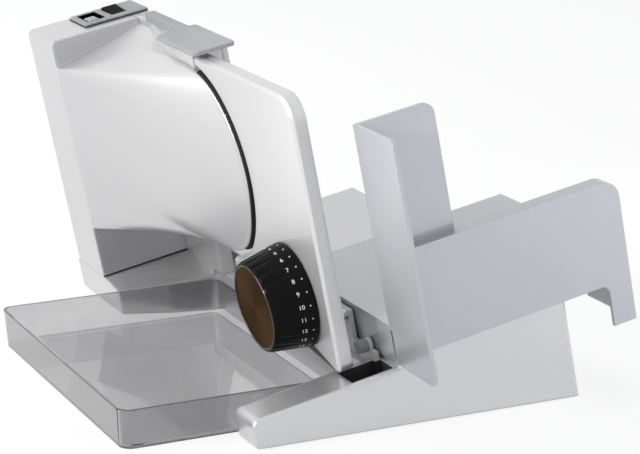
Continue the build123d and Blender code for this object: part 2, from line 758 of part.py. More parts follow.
def motor_posts():
    posts = []
    for y, w in POSTS:
        post = rod_u(y, w, POST_RADIUS, (GEARBOX_RIGHT_U, FRAME_LEFT_U))
        posts.append(post - rod_u(y, w, SCREW_RADIUS, (GEARBOX_RIGHT_U - 1, FRAME_LEFT_U - HOUSE_WALL)))
    return posts


def motor_screws():
    screws = []
    for y, w in POSTS:
        head = rod_u(y, w, SCREW_HEAD_RADIUS, (GEARBOX_LEFT_U - SCREW_HEAD, GEARBOX_LEFT_U))
        slot = block(
            (GEARBOX_LEFT_U - SCREW_HEAD - 1, GEARBOX_LEFT_U - SCREW_HEAD + 1),
            (y - SCREW_HEAD_RADIUS, y + SCREW_HEAD_RADIUS),
            (w - SCREW_SLOT_HALF, w + SCREW_SLOT_HALF),
        )
        stem = rod_u(y, w, SCREW_RADIUS, (GEARBOX_LEFT_U - 1, GEARBOX_RIGHT_U + SCREW_RUN))
        screws.append(head - slot + stem)
    return screws


def motor_shaft():
    start = GEARBOX_LEFT_U + MOTOR_SHAFT_SEAT + SLIDE_GAP
    return rod_u(MOTOR_AXIS_Y, MOTOR_AXIS_W, MOTOR_SHAFT_RADIUS, (start, PULLEY_U[1] + MOTOR_SHAFT_STUB))


# Stop plate and its slide

def plate_outline(inset):
    shape = outline(
        (PLATE_FRONT_Y, PLATE_FOOT_FRONT_W),
        (PLATE_FRONT_Y, PLATE_TOP_W),
        (PLATE_BACK_Y, PLATE_TOP_W),
        (PLATE_BACK_Y, PLATE_FOOT_BACK_W),
    )
    top = [v for v in shape.vertices() if near(v.X, PLATE_FRONT_Y) and near(v.Y, PLATE_TOP_W)]
    shape = fillet(top, PLATE_CORNER)
    foot = [v for v in shape.vertices() if near(v.X, PLATE_FRONT_Y) and near(v.Y, PLATE_FOOT_FRONT_W)]
    shape = fillet(foot, PLATE_FOOT_CORNER)
    shape -= Pos(PLATE_ARC_Y, PLATE_ARC_W) * Circle(PLATE_ARC_RADIUS)
    if inset:
        shape = offset(shape, -inset, kind=Kind.INTERSECTION)
    return shape


PLATE_RIGHT_U = PLATE_LEFT_U + PLATE_THICK


def peg_notch(grow, u):
    """Room for the front peg, open at the foot of the plate."""
    half = PEG_RADIUS + PEG_GAP + grow
    round_top = rod_u(PEG_Y, PEG_W, half, u)
    return round_top + block(u, (PEG_Y - half, PEG_Y + half), (0, PEG_W))


def stop_plate():
    sheet_u = PLATE_RIGHT_U - FACE_SHEET
    whole = plate_outline(0)
    plate = slab_u(whole, (PLATE_LEFT_U, sheet_u))
    face_edges = [edge for edge in plate.edges() if near(edge.bounding_box().max.X, PLATE_LEFT_U)]
    band = [
        edge
        for edge in face_edges
        if edge.geom_type == GeomType.CIRCLE and near(edge.radius, PLATE_ARC_RADIUS)
        or edge.geom_type == GeomType.LINE and edge.center().Z < PLATE_FOOT_BACK_W + 1
    ]
    plate = chamfer(band, PLATE_BAND)
    hollow = slab_u(plate_outline(PLATE_RIB), (PLATE_LEFT_U + PLATE_SKIN + 1, sheet_u + 1))
    hollow -= rod_u(DIAL_Y, DIAL_W, DIAL_HUB_RADIUS + PLATE_RIB, (PLATE_LEFT_U, sheet_u))
    for y in ROD_Y:
        hollow -= rod_u(y, ROD_W, GUIDE_BUSH_RADIUS + PLATE_RIB, (PLATE_LEFT_U, sheet_u))
    hollow -= peg_notch(PLATE_RIB, (PLATE_LEFT_U, sheet_u))
    plate -= hollow
    plate -= rod_u(DIAL_Y, DIAL_W, DIAL_PIN_RADIUS + SHAFT_GAP, (PLATE_LEFT_U - 1, sheet_u - 1))
    for y in ROD_Y:
        plate -= rod_u(y, ROD_W, GUIDE_BUSH_RADIUS, (PLATE_LEFT_U - 1, sheet_u + 1))
    return plate - peg_notch(0, (PLATE_LEFT_U + PLATE_SKIN, sheet_u + 1))


def stop_plate_face():
    sheet = slab_u(plate_outline(FACE_EDGE), (PLATE_RIGHT_U - FACE_SHEET, PLATE_RIGHT_U))
    for y in ROD_Y:
        sheet -= rod_u(y, ROD_W, ROD_RADIUS + PEG_GAP, (PLATE_LEFT_U, PLATE_RIGHT_U + 1))
    return sheet - peg_notch(0, (PLATE_LEFT_U, PLATE_RIGHT_U + 1))


def guide_bushes():
    bushes = []
    for y in ROD_Y:
        bush = rod_u(y, ROD_W, GUIDE_BUSH_RADIUS, (PLATE_LEFT_U, PLATE_RIGHT_U - FACE_SHEET))
        bushes.append(bush - rod_u(y, ROD_W, ROD_RADIUS + SHAFT_GAP, (PLATE_LEFT_U - 1, PLATE_RIGHT_U)))
    return bushes


def slide_bracket():
    bracket = block(BRACKET_U, BRACKET_Y, (BEAM_TOP_W, BRACKET_STEP_W))
    bracket += block(BRACKET_U, (BRACKET_STEP_Y, BRACKET_Y[1]), (BEAM_TOP_W, BRACKET_TOP_W))
    bracket += block(BRACKET_U, (BEAM_DEPTH, BRACKET_Y[1]), (SPINE_TOP_W, BEAM_TOP_W + 1))
    return bracket + rod_u(PEG_Y, PEG_W, PEG_RADIUS, BRACKET_U)


def guide_rods():
    return [rod_u(y, ROD_W, ROD_RADIUS, (ROD_END_U, BRACKET_U[0])) for y in ROD_Y]


def front_peg():
    peg = rod_u(PEG_Y, PEG_W, PEG_RADIUS, (BRACKET_U[0] - PEG_LENGTH, BRACKET_U[0]))
    rim = [edge for edge in peg.edges() if near(edge.center().X, BRACKET_U[0] - PEG_LENGTH)]
    return fillet(rim, PEG_EDGE)


# Thickness dial

DIAL_BACK_U = PLATE_LEFT_U - DIAL_GAP
DIAL_FRONT_U = DIAL_BACK_U - DIAL_LENGTH


def dial_turned(*profile):
    """Turned piece about the dial axis from (radius, u) points."""
    face = Plane.XZ * outline(*[(u, radius) for radius, u in profile])
    return Pos(0, DIAL_Y, DIAL_W) * revolve(face, Axis.X)


def thickness_knob():
    back, front = DIAL_BACK_U, DIAL_FRONT_U
    body = dial_turned(
        (0, front),
        (DIAL_FRONT_RADIUS - DIAL_EDGE, front),
        (DIAL_FRONT_RADIUS, front + DIAL_EDGE),
        (DIAL_BACK_RADIUS, back - DIAL_RIM),
        (DIAL_BACK_RADIUS, back),
        (DIAL_BACK_RADIUS - DIAL_WALL, back),
        (DIAL_FRONT_RADIUS - DIAL_WALL, front + DIAL_WALL),
        (DIAL_HUB_RADIUS, front + DIAL_WALL),
        (DIAL_HUB_RADIUS, back),
        (0, back),
    )
    slope = (DIAL_BACK_RADIUS - DIAL_FRONT_RADIUS) / DIAL_LENGTH + FLUTE_DEPTH / FLUTE_LENGTH
    tilt = degrees(atan2(slope, 1))
    flutes = []
    for i in range(FLUTE_COUNT):
        bar = Pos(front, 0, DIAL_FRONT_RADIUS + FLUTE_RADIUS - FLUTE_DEPTH) * Rot(0, 90 - tilt, 0)
        bar = bar * Pos(0, 0, FLUTE_LENGTH / 2) * Cylinder(FLUTE_RADIUS, FLUTE_LENGTH + 2 * FLUTE_RUNOUT)
        flutes.append(Pos(0, DIAL_Y, DIAL_W) * Rot(360 / FLUTE_COUNT * i, 0, 0) * bar)
    body -= flutes
    body -= rod_u(DIAL_Y, DIAL_W, CAP_RADIUS + CAP_RING_WIDTH, (front - 1, front + CAP_THICK))
    body -= rod_u(DIAL_Y, DIAL_W, DIAL_PIN_RADIUS, (front + DIAL_WALL, back + 1))
    return body


def knob_ring():
    front = DIAL_FRONT_U
    outer = CAP_RADIUS + CAP_RING_WIDTH
    return dial_turned(
        (CAP_RADIUS, front + CAP_THICK),
        (CAP_RADIUS, front - CAP_RING_RISE + CAP_RING_EDGE),
        (CAP_RADIUS + CAP_RING_EDGE, front - CAP_RING_RISE),
        (outer - CAP_RING_EDGE, front - CAP_RING_RISE),
        (outer, front - CAP_RING_RISE + CAP_RING_EDGE),
        (outer, front + CAP_THICK),
    )


def knob_cap():
    return rod_u(DIAL_Y, DIAL_W, CAP_RADIUS, (DIAL_FRONT_U - CAP_RISE, DIAL_FRONT_U + CAP_THICK))


def knob_shaft():
    end = PLATE_RIGHT_U - FACE_SHEET - DIAL_PIN_SHORT
    return rod_u(DIAL_Y, DIAL_W, DIAL_PIN_RADIUS, (DIAL_FRONT_U + DIAL_WALL, end))


# Carriage

def carriage_floor():
    floor_y = (WALL_FRONT_Y + SHEET, FLOOR_BACK_Y)
    floor = block((0, PANEL_RIGHT_U - SHEET), floor_y, (FLOOR_TOP_W - SHEET, FLOOR_TOP_W))
    flange = block((0, SHEET), floor_y, (GUARD_FOOT_W, FLOOR_TOP_W))
    return floor + flange


def panel_cap(inset):
    """Upper part of the panel's outline, drawn in by a sheet at its top and right end."""
    top = PANEL_TOP_W - inset
    right = PANEL_RIGHT_U - inset
    cap = outline((SHEET, FLOOR_TOP_W), (SHEET, top), (right, top), (right, FLOOR_TOP_W))
    corner = [v for v in cap.vertices() if near(v.X, right) and near(v.Y, top)]
    return fillet(corner, PANEL_CORNER - inset)


def pusher_wall():
    tall = outline(
        (0, FLOOR_TOP_W - SHEET),
        (0, GUARD_TOP_W),
        (TAB_RIGHT_U, GUARD_TOP_W),
        (TAB_RIGHT_U, FLOOR_TOP_W - SHEET),
    )
    corner = [v for v in tall.vertices() if near(v.X, TAB_RIGHT_U) and near(v.Y, GUARD_TOP_W)]
    tall = fillet(corner, TAB_CORNER)
    inner = tall + outline(
        (0, FLOOR_TOP_W - SHEET),
        (0, PANEL_TOP_W),
        (PANEL_RIGHT_U, PANEL_TOP_W),
        (PANEL_RIGHT_U, FLOOR_TOP_W - SHEET),
    )
    corner = [v for v in inner.vertices() if near(v.X, PANEL_RIGHT_U) and near(v.Y, PANEL_TOP_W)]
    wall = slab_y(fillet(corner, PANEL_CORNER), (WALL_FRONT_Y, WALL_FRONT_Y + SHEET))
    leg_u = PANEL_RIGHT_U - LEG_WIDTH
    front = outline(
        (SHEET, PANEL_FOOT_W),
        (SHEET, PANEL_TOP_W),
        (PANEL_RIGHT_U, PANEL_TOP_W),
        (PANEL_RIGHT_U, LEG_FOOT_W),
        (leg_u, LEG_FOOT_W),
        (leg_u, PANEL_FOOT_W),
    )
    corner = [v for v in front.vertices() if near(v.X, PANEL_RIGHT_U) and near(v.Y, PANEL_TOP_W)]
    front = fillet(corner, PANEL_CORNER)
    corner = [v for v in front.vertices() if near(v.X, leg_u) and near(v.Y, PANEL_FOOT_W)]
    front = fillet(corner, LEG_FILLET)
    panel = slab_y(front, (PANEL_FRONT_Y, PANEL_FRONT_Y + SHEET))
    ledge = slab_y(panel_cap(0) - panel_cap(SHEET), (PANEL_FRONT_Y + SHEET, WALL_FRONT_Y))
    end = slab_u(
        outline(
            (PANEL_FRONT_Y + SHEET, LEG_FOOT_W + 1),
            (PANEL_FRONT_Y + SHEET, PANEL_TOP_W - PANEL_CORNER),
            (WALL_FRONT_Y, PANEL_TOP_W - PANEL_CORNER),
            (WALL_FRONT_Y + SHEET, FLOOR_TOP_W + END_RISE),
            (LEG_BACK_Y, FLOOR_TOP_W),
            (LEG_BACK_Y, LEG_FOOT_W + 1),
        ),
        (PANEL_RIGHT_U - SHEET, PANEL_RIGHT_U),
    )
    return wall + panel + ledge + end


def thumb_guard():
    shape = outline(
        (GUARD_FRONT_Y, GUARD_FOOT_W),
        (GUARD_FRONT_Y, GUARD_TOP_W),
        (WALL_FRONT_Y, GUARD_TOP_W),
        (WALL_FRONT_Y, GUARD_FOOT_W),
    )
    front = [v for v in shape.vertices() if near(v.X, GUARD_FRONT_Y)]
    return slab_u(fillet(front, GUARD_CORNER), (0, SHEET))


def carriage_glide():
    glide = block(
        (RAIL_U - GROOVE_HALF + 2, RAIL_U + GROOVE_HALF - 2),
        GLIDE_Y,
        (DECK_TOP_W - GROOVE_DEPTH + 2, FLOOR_TOP_W - SHEET),
    )
    return glide - rod_y(RAIL_U, RAIL_W, RAIL_RADIUS + SHAFT_GAP, (GLIDE_Y[0] - 1, GLIDE_Y[1] + 1))


def glide_runner():
    return block(STRIP_U, STRIP_Y, (DECK_TOP_W + SEAT_GAP, FLOOR_TOP_W - SHEET))


# Slice tray

def tray_shell(inset, bottom, top):
    """Drafted tray block between two heights, drawn in by an inset."""
    def section(height):
        draft = TRAY_DRAFT * (1 - height / TRAY_HEIGHT)
        x = (TRAY_LEFT_X + draft + inset, TRAY_RIGHT_X - draft - inset)
        y = (TRAY_FRONT_Y + draft + inset, TRAY_BACK_Y - draft - inset)
        return Plane.XY.offset(height) * rounded_plate(x, y, TRAY_CORNER - inset)
    return loft([section(bottom), section(top)])


def slice_tray():
    tray = tray_shell(0, 0, TRAY_HEIGHT)
    rim = slab_w(
        rounded_plate((TRAY_LEFT_X, TRAY_RIGHT_X), (TRAY_FRONT_Y, TRAY_BACK_Y), TRAY_CORNER),
        (TRAY_HEIGHT - TRAY_RIM, TRAY_HEIGHT),
    )
    return tray + rim - tray_shell(TRAY_WALL, TRAY_WALL, TRAY_HEIGHT + 1)


# Switches

def top_rim(shape, w):
    """Edges of a shape that lie flat at one height."""
    return [edge for edge in shape.edges() if near(edge.bounding_box().min.Z, w)]


def switch_plate():
    plate = slab_w(rounded_plate(SWITCH_U, SWITCH_Y, SWITCH_CORNER), (HOUSE_TOP_W, SWITCH_TOP_W))
    plate = fillet(top_rim(plate, SWITCH_TOP_W), SWITCH_EDGE)
    for u, y in SLOTS:
        plate -= block(u, y, (HOUSE_TOP_W - 1, SWITCH_TOP_W + 1))
    return plate


def switch_bodies():
    under = HOUSE_TOP_W - HOUSE_WALL
    bodies = []
    for u, y in SLOTS:
        body_u = (u[0] - SWITCH_BODY_SIDE, min(u[1] + SWITCH_BODY_SIDE, FRAME_LEFT_U - SEAT_GAP))
        body_y = (y[0] - SWITCH_BODY_END, y[1] + SWITCH_BODY_END)
        bodies.append(block(body_u, body_y, (under - SWITCH_BODY_DEPTH, under)))
    return bodies


def lock_slider():
    start = LOCK_SLOT_Y[0] + SLIDE_GAP
    top = SWITCH_TOP_W + LOCK_RISE
    slider = block(LOCK_U, (start, start + LOCK_LENGTH), (HOUSE_TOP_W - HOUSE_WALL + SEAT_GAP, top))
    return fillet(top_rim(slider, top), LOCK_EDGE)


def power_button():
    u = (POWER_SLOT_U[0] + SLIDE_GAP, POWER_SLOT_U[1] - SLIDE_GAP)
    y = (POWER_SLOT_Y[0] + SLIDE_GAP, POWER_SLOT_Y[1] - SLIDE_GAP)
    foot = HOUSE_TOP_W - HOUSE_WALL + POWER_TRAVEL + SEAT_GAP
    front_top = SWITCH_TOP_W - POWER_DROP
    side = outline((y[0], foot), (y[0], front_top), (y[1], SWITCH_TOP_W + POWER_RISE), (y[1], foot))
    button = slab_u(side, u)
    rim = [edge for edge in button.edges() if edge.bounding_box().min.Z > front_top - SHAFT_GAP]
    return fillet(rim, POWER_EDGE)


LEANED = {
    "motor_housing": motor_housing(),
    "guard_shoulder": guard_shoulder(),
    "blade_frame": blade_frame(),
    "rear_frame": rear_frame(),
    "top_guard": top_guard(),
    "blade": blade(),
    "blade_shaft": blade_shaft(),
    "blade_bush": blade_bush(),
    "blade_lock": blade_lock(),
    "blade_pulley": pulley(BLADE_AXIS_Y, BLADE_AXIS_W, BLADE_PULLEY_RADIUS, SHAFT_RADIUS),
    "motor_pulley": pulley(MOTOR_AXIS_Y, MOTOR_AXIS_W, MOTOR_PULLEY_RADIUS, MOTOR_SHAFT_RADIUS),
    "drive_belt": drive_belt(),
    "motor_can": motor_can(),
    "motor_gearbox": motor_gearbox(),
    "motor_posts": motor_posts(),
    "motor_screws": motor_screws(),
    "motor_shaft": motor_shaft(),
    "stop_plate": stop_plate(),
    "stop_plate_face": stop_plate_face(),
    "guide_bushes": guide_bushes(),
    "slide_bracket": slide_bracket(),
    "guide_rods": guide_rods(),
    "front_peg": front_peg(),
    "thickness_knob": thickness_knob(),
    "knob_ring": knob_ring(),
    "knob_cap": knob_cap(),
    "knob_shaft": knob_shaft(),
    "carriage_floor": carriage_floor(),
    "pusher_wall": pusher_wall(),
    "thumb_guard": thumb_guard(),
    "carriage_glide": carriage_glide(),
    "glide_runner": glide_runner(),
    "guide_rail": guide_rail(),
    "cable_bush": cable_bush(),
    "switch_plate": switch_plate(),
    "switch_bodies": switch_bodies(),
    "lock_slider": lock_slider(),
    "power_button": power_button(),
}

LEVEL = {
    "base_casting": base_casting(),
    "base_cover": base_cover(),
    "base_cover_screws": base_cover_screws(),
    "rubber_feet": rubber_feet(),
    "slice_tray": slice_tray(),
}


def as_solids(shape):
    """All solids of a shape or of a list of shapes."""
    shapes = shape if isinstance(shape, list) else [shape]
    return [solid for piece in shapes for solid in piece.solids()]


placed = {name: [Rot(0, -LEAN, 0) * solid for solid in as_solids(shape)] for name, shape in LEANED.items()}
placed.update({name: as_solids(shape) for name, shape in LEVEL.items()})

# The origin goes to the middle of the overall box, on the table.
boxes = [solid.bounding_box() for solids in placed.values() for solid in solids]
LOW_X = min(box.min.X for box in boxes)
HIGH_X = max(box.max.X for box in boxes)
LOW_Y = min(box.min.Y for box in boxes)
HIGH_Y = max(box.max.Y for box in boxes)
LOW_Z = min(box.min.Z for box in boxes)
TO_ORIGIN = Pos(-(LOW_X + HIGH_X) / 2, -(LOW_Y + HIGH_Y) / 2, -LOW_Z)

for name, solids in placed.items():
    moved = [TO_ORIGIN * solid for solid in solids]
    piece = moved[0] if len(moved) == 1 else Compound(moved)
    export_step(piece, f"parts/{name}.step")
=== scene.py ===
import math

import bpy
from mathutils import Matrix, Vector


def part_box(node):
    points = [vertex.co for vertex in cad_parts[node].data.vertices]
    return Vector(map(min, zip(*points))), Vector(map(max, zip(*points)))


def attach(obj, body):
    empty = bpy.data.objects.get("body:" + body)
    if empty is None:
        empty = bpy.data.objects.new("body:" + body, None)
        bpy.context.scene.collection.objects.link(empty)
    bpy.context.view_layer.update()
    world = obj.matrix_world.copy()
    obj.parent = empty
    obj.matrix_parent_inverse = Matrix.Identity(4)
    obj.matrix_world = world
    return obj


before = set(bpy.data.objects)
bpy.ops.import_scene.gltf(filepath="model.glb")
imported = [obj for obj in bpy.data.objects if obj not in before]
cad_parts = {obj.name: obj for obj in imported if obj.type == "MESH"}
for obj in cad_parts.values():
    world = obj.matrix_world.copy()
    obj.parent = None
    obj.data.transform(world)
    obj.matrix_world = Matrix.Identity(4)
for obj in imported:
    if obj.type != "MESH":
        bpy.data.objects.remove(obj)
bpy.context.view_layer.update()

# Sizes are in millimetres in the machine's own frame until they are placed:
# u along the carriage floor, y to the back, w square to both.
MM = 0.001
LEAN = math.radians(11.2)
TRAY_LEFT_X = -199.7
GUARD_FRONT_Y = -55.6

# Where the machine's frame sits in the shared frame
SHIFT_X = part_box("slice_tray")[0].x - TRAY_LEFT_X * MM
SHIFT_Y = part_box("thumb_guard")[0].y - GUARD_FRONT_Y * MM
SHIFT = Vector((SHIFT_X, SHIFT_Y, 0))
MACHINE = Matrix.Translation(SHIFT) @ Matrix.Rotation(-LEAN, 4, "Y")

# Camera
CAMERA_AT = Vector((-715.9, -1361.8, 569.4))
CAMERA_AZIMUTH = math.radians(25.41)
CAMERA_ELEVATION = math.radians(15.43)
CAMERA_LENS = 130.96
CAMERA_SENSOR = 36
CAMERA_REACH = 50

# Colours of the lamps and of the light from all round
WARM = (1, 0.985, 0.965)
COOL = (0.93, 0.95, 1)
WHITE = (1, 1, 1)
SKY = (0.91, 0.94, 1, 1)
SKY_STRENGTH = 0.34

# Floor: half its width in metres, its own grey, and its look to the camera, in gloss and in glass
FLOOR_HALF = 6.0
FLOOR_GREY = 0.80
FLOOR_SHADOW_GREY = 0.25
FLOOR_GLOW = 0.80

# Axes of the turned pieces, as (y, w)
BLADE_AXIS = (194.5, 162.5)
DIAL_AXIS = (73.6, 92.8)

# Dial cone and its printed scale
DIAL_BACK_U = -37.2
DIAL_FRONT_U = -68.2
DIAL_BACK_RADIUS = 38.8
DIAL_FRONT_RADIUS = 33.6
DIAL_RIM = 2.0
DIAL_EDGE = 1.0
SCALE_STEPS = 20
SCALE_ZERO = 26.4
SCALE_PITCH = 14.8
NUMBER_U = -47.7
NUMBER_SIZE = 4.6
DOT_U = -41.4
DOT_RADIUS = 0.55
DOT_CORNERS = 14
PRINT_RISE = 0.12
PRINT_SINK = 0.05

# Index mark on the stop plate
PLATE_LEFT_U = -36.2
INDEX_ANGLE = SCALE_ZERO + SCALE_STEPS * SCALE_PITCH
INDEX_NEAR = 41.5
INDEX_FAR = 46.0
INDEX_HALF = 1.8
INDEX_RISE = 0.05

# Dark strip along the lower edge of the stop plate, painted shade and reflection on its bevel
PLATE_FOOT_Y = (19.0, 183.0)
PLATE_FOOT_W = (45.4, 65.0)
PLATE_BEVEL = 2.0
STRIP_TALL = {112.0: 8.2, 60.0: 8.2, 26.0: 2.6}
STRIP_RISE = 0.25

# Dark strip round the rim of the flare, next to the stop plate, painted shade for the deep gap between
# them
FLARE_AXIS = (194.5, 166.5)
FLARE_U = -38.0
FLARE_RADIUS = 74.0
FLARE_NOSE_ANGLE = 278.5
FLARE_NOSE_RADIUS = 70.8
FLARE_ROUND_TO = 230.0
RIM_NEAR_U = 0.02
RIM_NEAR_RADIUS = 1.0
GAP_SHADE_ANGLES = (99.0, 262.0)
GAP_SHADE_U = (-37.8, -31.0)
GAP_SHADE_DEPTH = 1.6

# Dark joints round the switch plate and under the motor housing
HOUSE_TOP_W = 244.0
SWITCH_U = (-53.0, 1.5)
SWITCH_Y = (370.0, 410.0)
SWITCH_CORNER = 2.5
GASKET_OUT = 0.5
GASKET_TALL = 0.8
HOUSE_U = (-88.0, -13.0)
HOUSE_FRONT_Y = 356.0
HOUSE_SPLIT_W = 43.0
SEAM_DEEP = 0.5
SEAM_TALL = 1.1
SEAM_TAPER = 1.0
SEAM_END_SHARE = 0.3

# Dark sleeves inside the lock slider's opening and the window in the front beam, painted shade for the
# dark inside of each
LOCK_SLOT_U = (-48.0, -32.5)
LOCK_SLOT_Y = (378.0, 405.0)
LOCK_SLOT_CORNER = 0.3
LOCK_SHADE_W = (241.8, 245.8)
WINDOW_U = (-34.0, -1.5)
WINDOW_Y = (5.0, 25.0)
WINDOW_BAY_U = -5.6
WINDOW_BAY_Y = 28.5
WINDOW_SHADE_W = (28.0, 44.3)
SHADE_GAP = 0.03
SHADE_IN = 0.18

# Moulded mark on the front of the tray, level on the table
TRAY_MARK_X = (-192.5, -181.5)
TRAY_MARK_Z = 2.6
TRAY_MARK_SAG = 0.7
TRAY_MARK_TALL = 0.8
TRAY_MARK_TAPER = 0.8
TRAY_MARK_RISE = 0.1
TRAY_MARK_GAP = 0.02
TRAY_FRONT_Y = 39.5
TRAY_DRAFT = 2.0
TRAY_HEIGHT = 28.7

scene = bpy.context.scene


def machine_point(u, y, w):
    return MACHINE @ (Vector((u, y, w)) * MM)


def machine_way(u, y, w):
    return (MACHINE.to_3x3() @ Vector((u, y, w))).normalized()


# Studio

def add_camera():
    data = bpy.data.cameras.new("camera")
    data.sensor_fit = "HORIZONTAL"
    data.sensor_width = CAMERA_SENSOR
    data.lens = CAMERA_LENS
    data.clip_end = CAMERA_REACH
    camera = bpy.data.objects.new("camera", data)
    scene.collection.objects.link(camera)
    camera.location = CAMERA_AT * MM + SHIFT
    camera.rotation_euler = (math.pi / 2 - CAMERA_ELEVATION, 0, -CAMERA_AZIMUTH)
    scene.camera = camera


def seen_ray(tree, *ways):
    """One for rays that show the background, in any of the ways given."""
    path = put(tree, "ShaderNodeLightPath")
    seen = path.outputs["Is Camera Ray"]
    for way in ways:
        seen = maths(tree, "MAXIMUM", seen, path.outputs[way])
    return seen


def add_world():
    world = bpy.data.worlds.new("studio")
    world.use_nodes = True
    tree = world.node_tree
    tree.nodes.clear()
    lighting = put(tree, "ShaderNodeBackground", {"Color": SKY, "Strength": SKY_STRENGTH})
    backdrop = put(tree, "ShaderNodeBackground", {"Color": grey(1), "Strength": 1.0})
    seen = seen_ray(tree, "Is Glossy Ray", "Is Transmission Ray")
    both = mixed(tree, seen, lighting, backdrop)
    put(tree, "ShaderNodeOutputWorld", {"Surface": both.outputs[0]})
    scene.world = world


def add_floor():
    ways = ((-1, -1), (1, -1), (1, 1), (-1, 1))
    corners = [(FLOOR_HALF * x, FLOOR_HALF * y, 0) for x, y in ways]
    mesh = bpy.data.meshes.new("floor")
    mesh.from_pydata(corners, [], [(0, 1, 2, 3)])
    floor = bpy.data.objects.new("floor", mesh)
    scene.collection.objects.link(floor)
    material = bpy.data.materials.new("floor_paper")
    material.use_nodes = True
    tree = material.node_tree
    tree.nodes.clear()
    paper = put(tree, "ShaderNodeBsdfDiffuse", {"Color": grey(FLOOR_GREY)})
    shadow = put(tree, "ShaderNodeBsdfDiffuse", {"Color": grey(FLOOR_SHADOW_GREY)})
    glow = put(tree, "ShaderNodeEmission", {"Color": grey(1), "Strength": FLOOR_GLOW})
    pale = put(tree, "ShaderNodeAddShader", {0: shadow.outputs[0], 1: glow.outputs[0]})
    seen = seen_ray(tree, "Is Glossy Ray", "Is Transmission Ray")
    both = mixed(tree, seen, paper, pale)
    put(tree, "ShaderNodeOutputMaterial", {"Surface": both.outputs[0]})
    mesh.materials.append(material)


def hang_lamp(data, place, aim, power, colour):
    data.energy = power
    data.color = colour
    lamp = bpy.data.objects.new(data.name, data)
    scene.collection.objects.link(lamp)
    lamp.location = place
    lamp.rotation_euler = (Vector(aim) - Vector(place)).to_track_quat("-Z", "Y").to_euler()
    return lamp


def add_lamp(name, place, aim, size, power, colour, mirrored=True):
    """Square soft lamp; one that is not mirrored leaves no bright patch in gloss or glass."""
    data = bpy.data.lights.new(name, "AREA")
    data.shape = "RECTANGLE"
    data.size = size
    data.size_y = size
    lamp = hang_lamp(data, place, aim, power, colour)
    lamp.visible_glossy = mirrored
    lamp.visible_transmission = mirrored


def add_accent(name, place, aim, cone, power, colour):
    """Narrow soft-edged lamp."""
    data = bpy.data.lights.new(name, "SPOT")
    data.spot_size = math.radians(cone)
    data.spot_blend = 1.0
    data.shadow_soft_size = 0.1
    hang_lamp(data, place, aim, power, colour)


def add_lamps():
    add_lamp("key", (-2.2, 0.2, 0.95), (0, 0, 0.1), size=1.5, power=29, colour=WARM)
    add_lamp(
        "fill", (0.6, -0.8, 0.22), (0.1, -0.1, 0.04), size=0.5, power=4.2, colour=COOL, mirrored=False
    )
    add_lamp(
        "back", (-0.5, 1.6, 1.9), (-0.1, 0.25, 0.2), size=1.0, power=20, colour=WHITE, mirrored=False
    )
    add_lamp("ridge", (-0.42, 0.268, 0.26), (-0.075, -0.01, 0.217), size=0.12, power=0.055, colour=WARM)
    add_accent("plate_accent", (-1.2, -0.5, 0.9), (-0.065, -0.02, 0.255), cone=11, power=52, colour=WARM)
    add_accent("guard_accent", (-1.3, -0.4, 0.5), (-0.02, -0.215, 0.19), cone=12, power=104, colour=WARM)


# Node helpers

def put(tree, kind, inputs=None, **settings):
    """Add a node; each input takes a value or another node's output."""
    node = tree.nodes.new(kind)
    for name, value in settings.items():
        setattr(node, name, value)
    for socket, value in (inputs or {}).items():
        if isinstance(value, bpy.types.NodeSocket):
            tree.links.new(value, node.inputs[socket])
        else:
            node.inputs[socket].default_value = value
    return node


def maths(tree, operation, first, second):
    return put(tree, "ShaderNodeMath", {0: first, 1: second}, operation=operation).outputs[0]


def vectors(tree, operation, first, second=None):
    """Sum with vectors; the result is a vector, or a value for a length or a dot product."""
    inputs = {0: first}
    if second is not None:
        inputs[1] = second
    node = put(tree, "ShaderNodeVectorMath", inputs, operation=operation)
    return node.outputs["Value" if operation in ("DOT_PRODUCT", "LENGTH") else "Vector"]


def mixed(tree, amount, first, second):
    """Mix of two shader nodes: the first where the amount is 0, the second where it is 1."""
    return put(tree, "ShaderNodeMixShader", {0: amount, 1: first.outputs[0], 2: second.outputs[0]})


def spread(tree, value, low, high):
    """Take a value from 0 to 1 to the range from low to high."""
    node = put(tree, "ShaderNodeMapRange", {"Value": value, "To Min": low, "To Max": high})
    return node.outputs[0]


def narrow(tree, value, start, end):
    """Take the part of a value between start and end to 0 to 1."""
    node = put(tree, "ShaderNodeMapRange", {"Value": value, "From Min": start, "From Max": end})
    return node.outputs[0]


def blend(tree, amount, first, second, way="MIX"):
    node = put(tree, "ShaderNodeMix", data_type="RGBA", blend_type=way)
    for socket, value in ((node.inputs[0], amount), (node.inputs[6], first), (node.inputs[7], second)):
        if isinstance(value, bpy.types.NodeSocket):
            tree.links.new(value, socket)
        else:
            socket.default_value = value
    return node.outputs[2]


def place_of(tree):
    return put(tree, "ShaderNodeTexCoord").outputs["Object"]


def noise(tree, where, scale, detail):
    return put(tree, "ShaderNodeTexNoise", {"Vector": where, "Scale": scale, "Detail": detail}).outputs[0]


def raised(tree, height, strength, distance, normal):
    inputs = {"Height": height, "Strength": strength, "Distance": distance, "Normal": normal}
    return put(tree, "ShaderNodeBump", inputs).outputs[0]


# Shared effects

FLOAT = "NodeSocketFloat"
VECTOR = "NodeSocketVector"


def new_effect(name, inputs, outputs):
    tree = bpy.data.node_groups.new(name, "ShaderNodeTree")
    for label, kind, value in inputs:
        tree.interface.new_socket(label, in_out="INPUT", socket_type=kind).default_value = value
    for label, kind in outputs:
        tree.interface.new_socket(label, in_out="OUTPUT", socket_type=kind)
    return tree, tree.nodes.new("NodeGroupInput").outputs, tree.nodes.new("NodeGroupOutput").inputs


